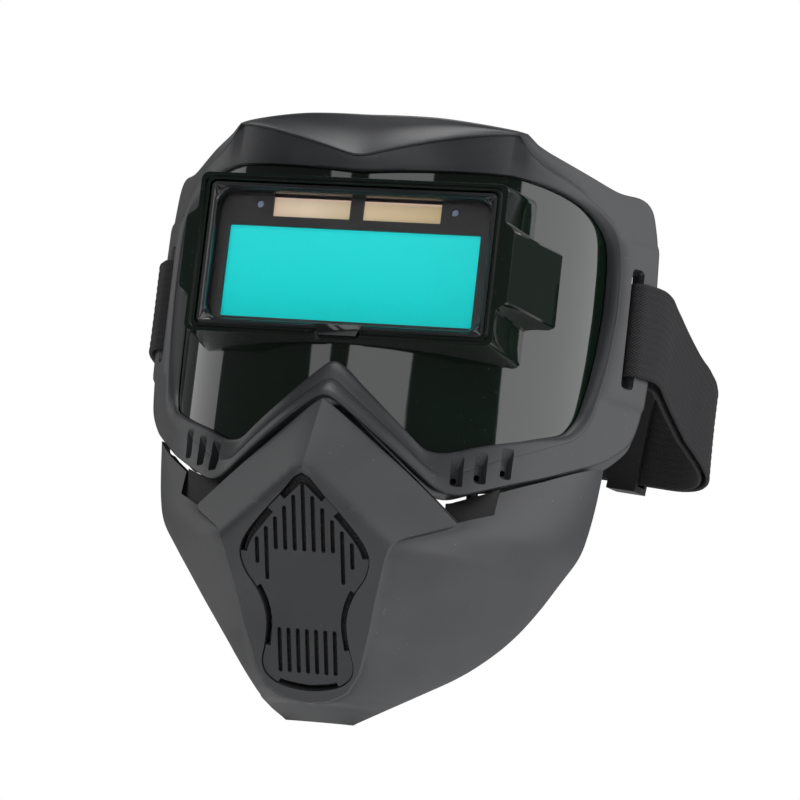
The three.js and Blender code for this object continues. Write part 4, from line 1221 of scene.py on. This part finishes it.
def solar_material(name, box, shaded_tones):
    """Amorphous silicon strip: tan with a pinker border and faint vertical cells, with painted shading
    across it and a painted glow from emission.
    """
    mat, tree, shader = material("solar_strip_" + name)
    low, high = box
    vector = coords(tree)
    place = position(tree, vector)
    edges = []
    for axis, start, end in (("X", low.x, high.x), ("Z", low.z, high.z)):
        away = maths(tree, "ABSOLUTE", maths(tree, "SUBTRACT", place[axis], (start + end) / 2))
        reach = (end - start) / 2
        edges.append(spread(tree, away, reach - 0.0012, reach - 0.0002, 0.0, 1.0))
    across = spread(tree, place["X"], low.x, high.x, 0.0, 1.0)
    face = ramp(tree, across, list(zip((0.0, 0.45, 1.0), shaded_tones)))
    tone = blended(tree, "MIX", maths(tree, "MAXIMUM", *edges), face, (0.9, 0.62, 0.5, 1))
    link(tone, shader.inputs["Base Color"])
    # Emission makes the strip glow though it is no lamp: painted glow.
    link(tone, shader.inputs["Emission Color"])
    shader.inputs["Emission Strength"].default_value = 0.22
    shader.inputs["Roughness"].default_value = 0.25
    lines = node(tree, "ShaderNodeTexWave", Scale=300.0)
    link(vector, lines.inputs["Vector"])
    bump(tree, shader, lines.outputs["Fac"], 0.05, 0.0001)
    return mat


def clear_material():
    """Clear polycarbonate cover, barely hazed."""
    mat, tree, shader = material("clear_cover")
    vector = coords(tree)
    haze = noise_at(tree, vector, 50.0, 3.0)
    link(spread(tree, haze, 0.3, 0.8, 0.0, 0.04), shader.inputs["Roughness"])
    shader.inputs["Base Color"].default_value = (0.97, 0.99, 0.99, 1)
    shader.inputs["Transmission Weight"].default_value = 1.0
    shader.inputs["IOR"].default_value = 1.12
    return mat


filter_case = satin("filter_case", (0.024, 0.019, 0.02), 0.6)
board_green = satin("board_green", (0.02, 0.09, 0.04), 0.45)
cell_steel = satin("cell_steel", (0.62, 0.62, 0.6), 0.3, 1.0, 400.0)
dark_glass = glossy("dark_glass", (0.008, 0.02, 0.015), 0.04, specks=False)
# Light blue-grey base colour stands in for the sensors' glint: painted highlight.
sensor_lens_painted_glint = glossy("sensor_lens_painted_glint", (0.25, 0.3, 0.42), 0.15, specks=False)
buckle_plastic = moulded("buckle_plastic", (0.012, 0.012, 0.013), (0.02, 0.02, 0.022), 0.4)
clear_cover = clear_material()
carried = {
    "filter_case_front": (filter_case, 0.4), "filter_case_back": (filter_case, 0.4),
    "window_glass": (window_material(), 0.2), "shutter_cell": (dark_glass, 0.2),
    "rear_glass": (dark_glass, 0.2), "circuit_board": (board_green, 0.15),
    "coin_cell_left": (cell_steel, 0.2), "coin_cell_right": (cell_steel, 0.2),
    "solar_cell_left": (solar_material("left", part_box("solar_cell_left"), SOLAR_LEFT_PAINTED_SHADING), 0.15),
    "solar_cell_right": (solar_material("right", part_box("solar_cell_right"), SOLAR_RIGHT_PAINTED_SHADING), 0.15),
    "arc_sensor_left": (sensor_lens_painted_glint, 0.3), "arc_sensor_right": (sensor_lens_painted_glint, 0.3),
    "cover_plate": (clear_cover, 0.2), "inner_cover": (clear_cover, 0.2),
    "sponge_clamp": (mask_plastic, 0.25), "mask_peg_left": (buckle_plastic, 0.3),
    "mask_peg_right": (buckle_plastic, 0.3), "buckle_left": (buckle_plastic, 0.6),
    "buckle_right": (buckle_plastic, 0.6),
}
for name, (finish, width) in carried.items():
    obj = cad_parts[name]
    for polygon_slot in obj.material_slots:
        polygon_slot.material = finish
    bevel(obj, width, 2, 40)


# ---- floor, light and camera ----
FLOOR_REACH = 6.0
FLOOR_Z = -0.62
WORLD_LIGHT = 0.12  # the world's light on the object; the camera sees it white


def flat_material(name, colour, rough):
    mat, tree, shader = material(name)
    tone = noise_at(tree, coords(tree), 3.0, 2.0)
    light = tuple(min(1.0, 1.02 * c) for c in colour)
    link(ramp(tree, tone, [(0.3, colour), (0.7, light)]), shader.inputs["Base Color"])
    shader.inputs["Roughness"].default_value = rough
    return mat


def studio():
    """A pale floor well below the object."""
    mesh = bpy.data.meshes.new("studio_floor")
    signs = ((-1, -1), (1, -1), (1, 1), (-1, 1))
    corners = [(FLOOR_REACH * a, FLOOR_REACH * b, FLOOR_Z) for a, b in signs]
    mesh.from_pydata(corners, [], [(0, 1, 2, 3)])
    floor = bpy.data.objects.new("studio_floor", mesh)
    bpy.context.scene.collection.objects.link(floor)
    mesh.materials.append(flat_material("floor_white", (0.85, 0.85, 0.85), 0.9))


def softbox(name, azimuth, elevation, distance, width, height, power):
    """An area light aimed at the object; azimuth 0 is in front, 90 to the viewer's right."""
    az, el = math.radians(azimuth), math.radians(elevation)
    data = bpy.data.lights.new(name, "AREA")
    data.shape = "RECTANGLE"
    data.size, data.size_y, data.energy = width, height, power
    lamp = bpy.data.objects.new(name, data)
    away = Vector((math.sin(az) * math.cos(el), -math.cos(az) * math.cos(el), math.sin(el)))
    lamp.location = away * distance
    lamp.rotation_euler = away.to_track_quat("Z", "Y").to_euler()
    bpy.context.scene.collection.objects.link(lamp)


def lighting():
    world = bpy.data.worlds.new("studio_world")
    bpy.context.scene.world = world
    world.use_nodes = True
    tree = world.node_tree
    dim = tree.nodes["Background"]
    dim.inputs["Color"].default_value = (1, 1, 1, 1)
    dim.inputs["Strength"].default_value = WORLD_LIGHT
    bright = node(tree, "ShaderNodeBackground")
    bright.inputs["Color"].default_value = (1, 1, 1, 1)
    path = node(tree, "ShaderNodeLightPath")
    pick = node(tree, "ShaderNodeMixShader")
    link(path.outputs["Is Camera Ray"], pick.inputs[0])
    link(dim.outputs[0], pick.inputs[1])
    link(bright.outputs[0], pick.inputs[2])
    link(pick.outputs[0], tree.nodes["World Output"].inputs["Surface"])
    softbox("front_left_box", -28, 20, 2.2, 0.4, 1.6, 4)
    softbox("front_right_box", 3, 20, 2.2, 1.26, 1.6, 14)
    softbox("right_box", 92, 12, 1.8, 1.8, 2.2, 38)
    softbox("left_box", -104, 12, 1.9, 0.9, 2.2, 8)
    softbox("top_box", 0, 82, 2.2, 1.5, 1.5, 42)
    softbox("back_box", 180, 40, 2.6, 2.6, 1.6, 14)


CAMERA_AZ = 18.3
CAMERA_EL = -11.233
CAMERA_ROLL = 6.642
CAMERA_FAR = 1.5
FOCAL = 5.0494625  # focal length in picture widths
AIM = (0.0635, -0.1553)  # where the picture's middle lies from the window, in picture widths
SENSOR = 36.0


def camera():
    az, el, roll = (math.radians(v) for v in (CAMERA_AZ, CAMERA_EL, CAMERA_ROLL))
    back = Vector((math.sin(az) * math.cos(el), -math.cos(az) * math.cos(el), math.sin(el)))
    right = Vector((math.cos(az), math.sin(az), 0))
    up = back.cross(right)
    x_axis = right * math.cos(roll) + up * math.sin(roll)
    y_axis = up * math.cos(roll) - right * math.sin(roll)
    away = (back * FOCAL - x_axis * AIM[0] - y_axis * AIM[1]).normalized()
    x_axis = (x_axis - away * x_axis.dot(away)).normalized()
    y_axis = away.cross(x_axis)
    data = bpy.data.cameras.new("camera")
    data.sensor_width = SENSOR
    data.lens = FOCAL * SENSOR
    eye = bpy.data.objects.new("camera", data)
    turn = Matrix((x_axis, y_axis, away)).transposed().to_4x4()
    eye.matrix_world = Matrix.Translation(at(0, 0, 0) + back * CAMERA_FAR) @ turn
    bpy.context.scene.collection.objects.link(eye)
    bpy.context.scene.camera = eye


studio()
lighting()
camera()
bpy.context.scene.view_settings.view_transform = "Standard"
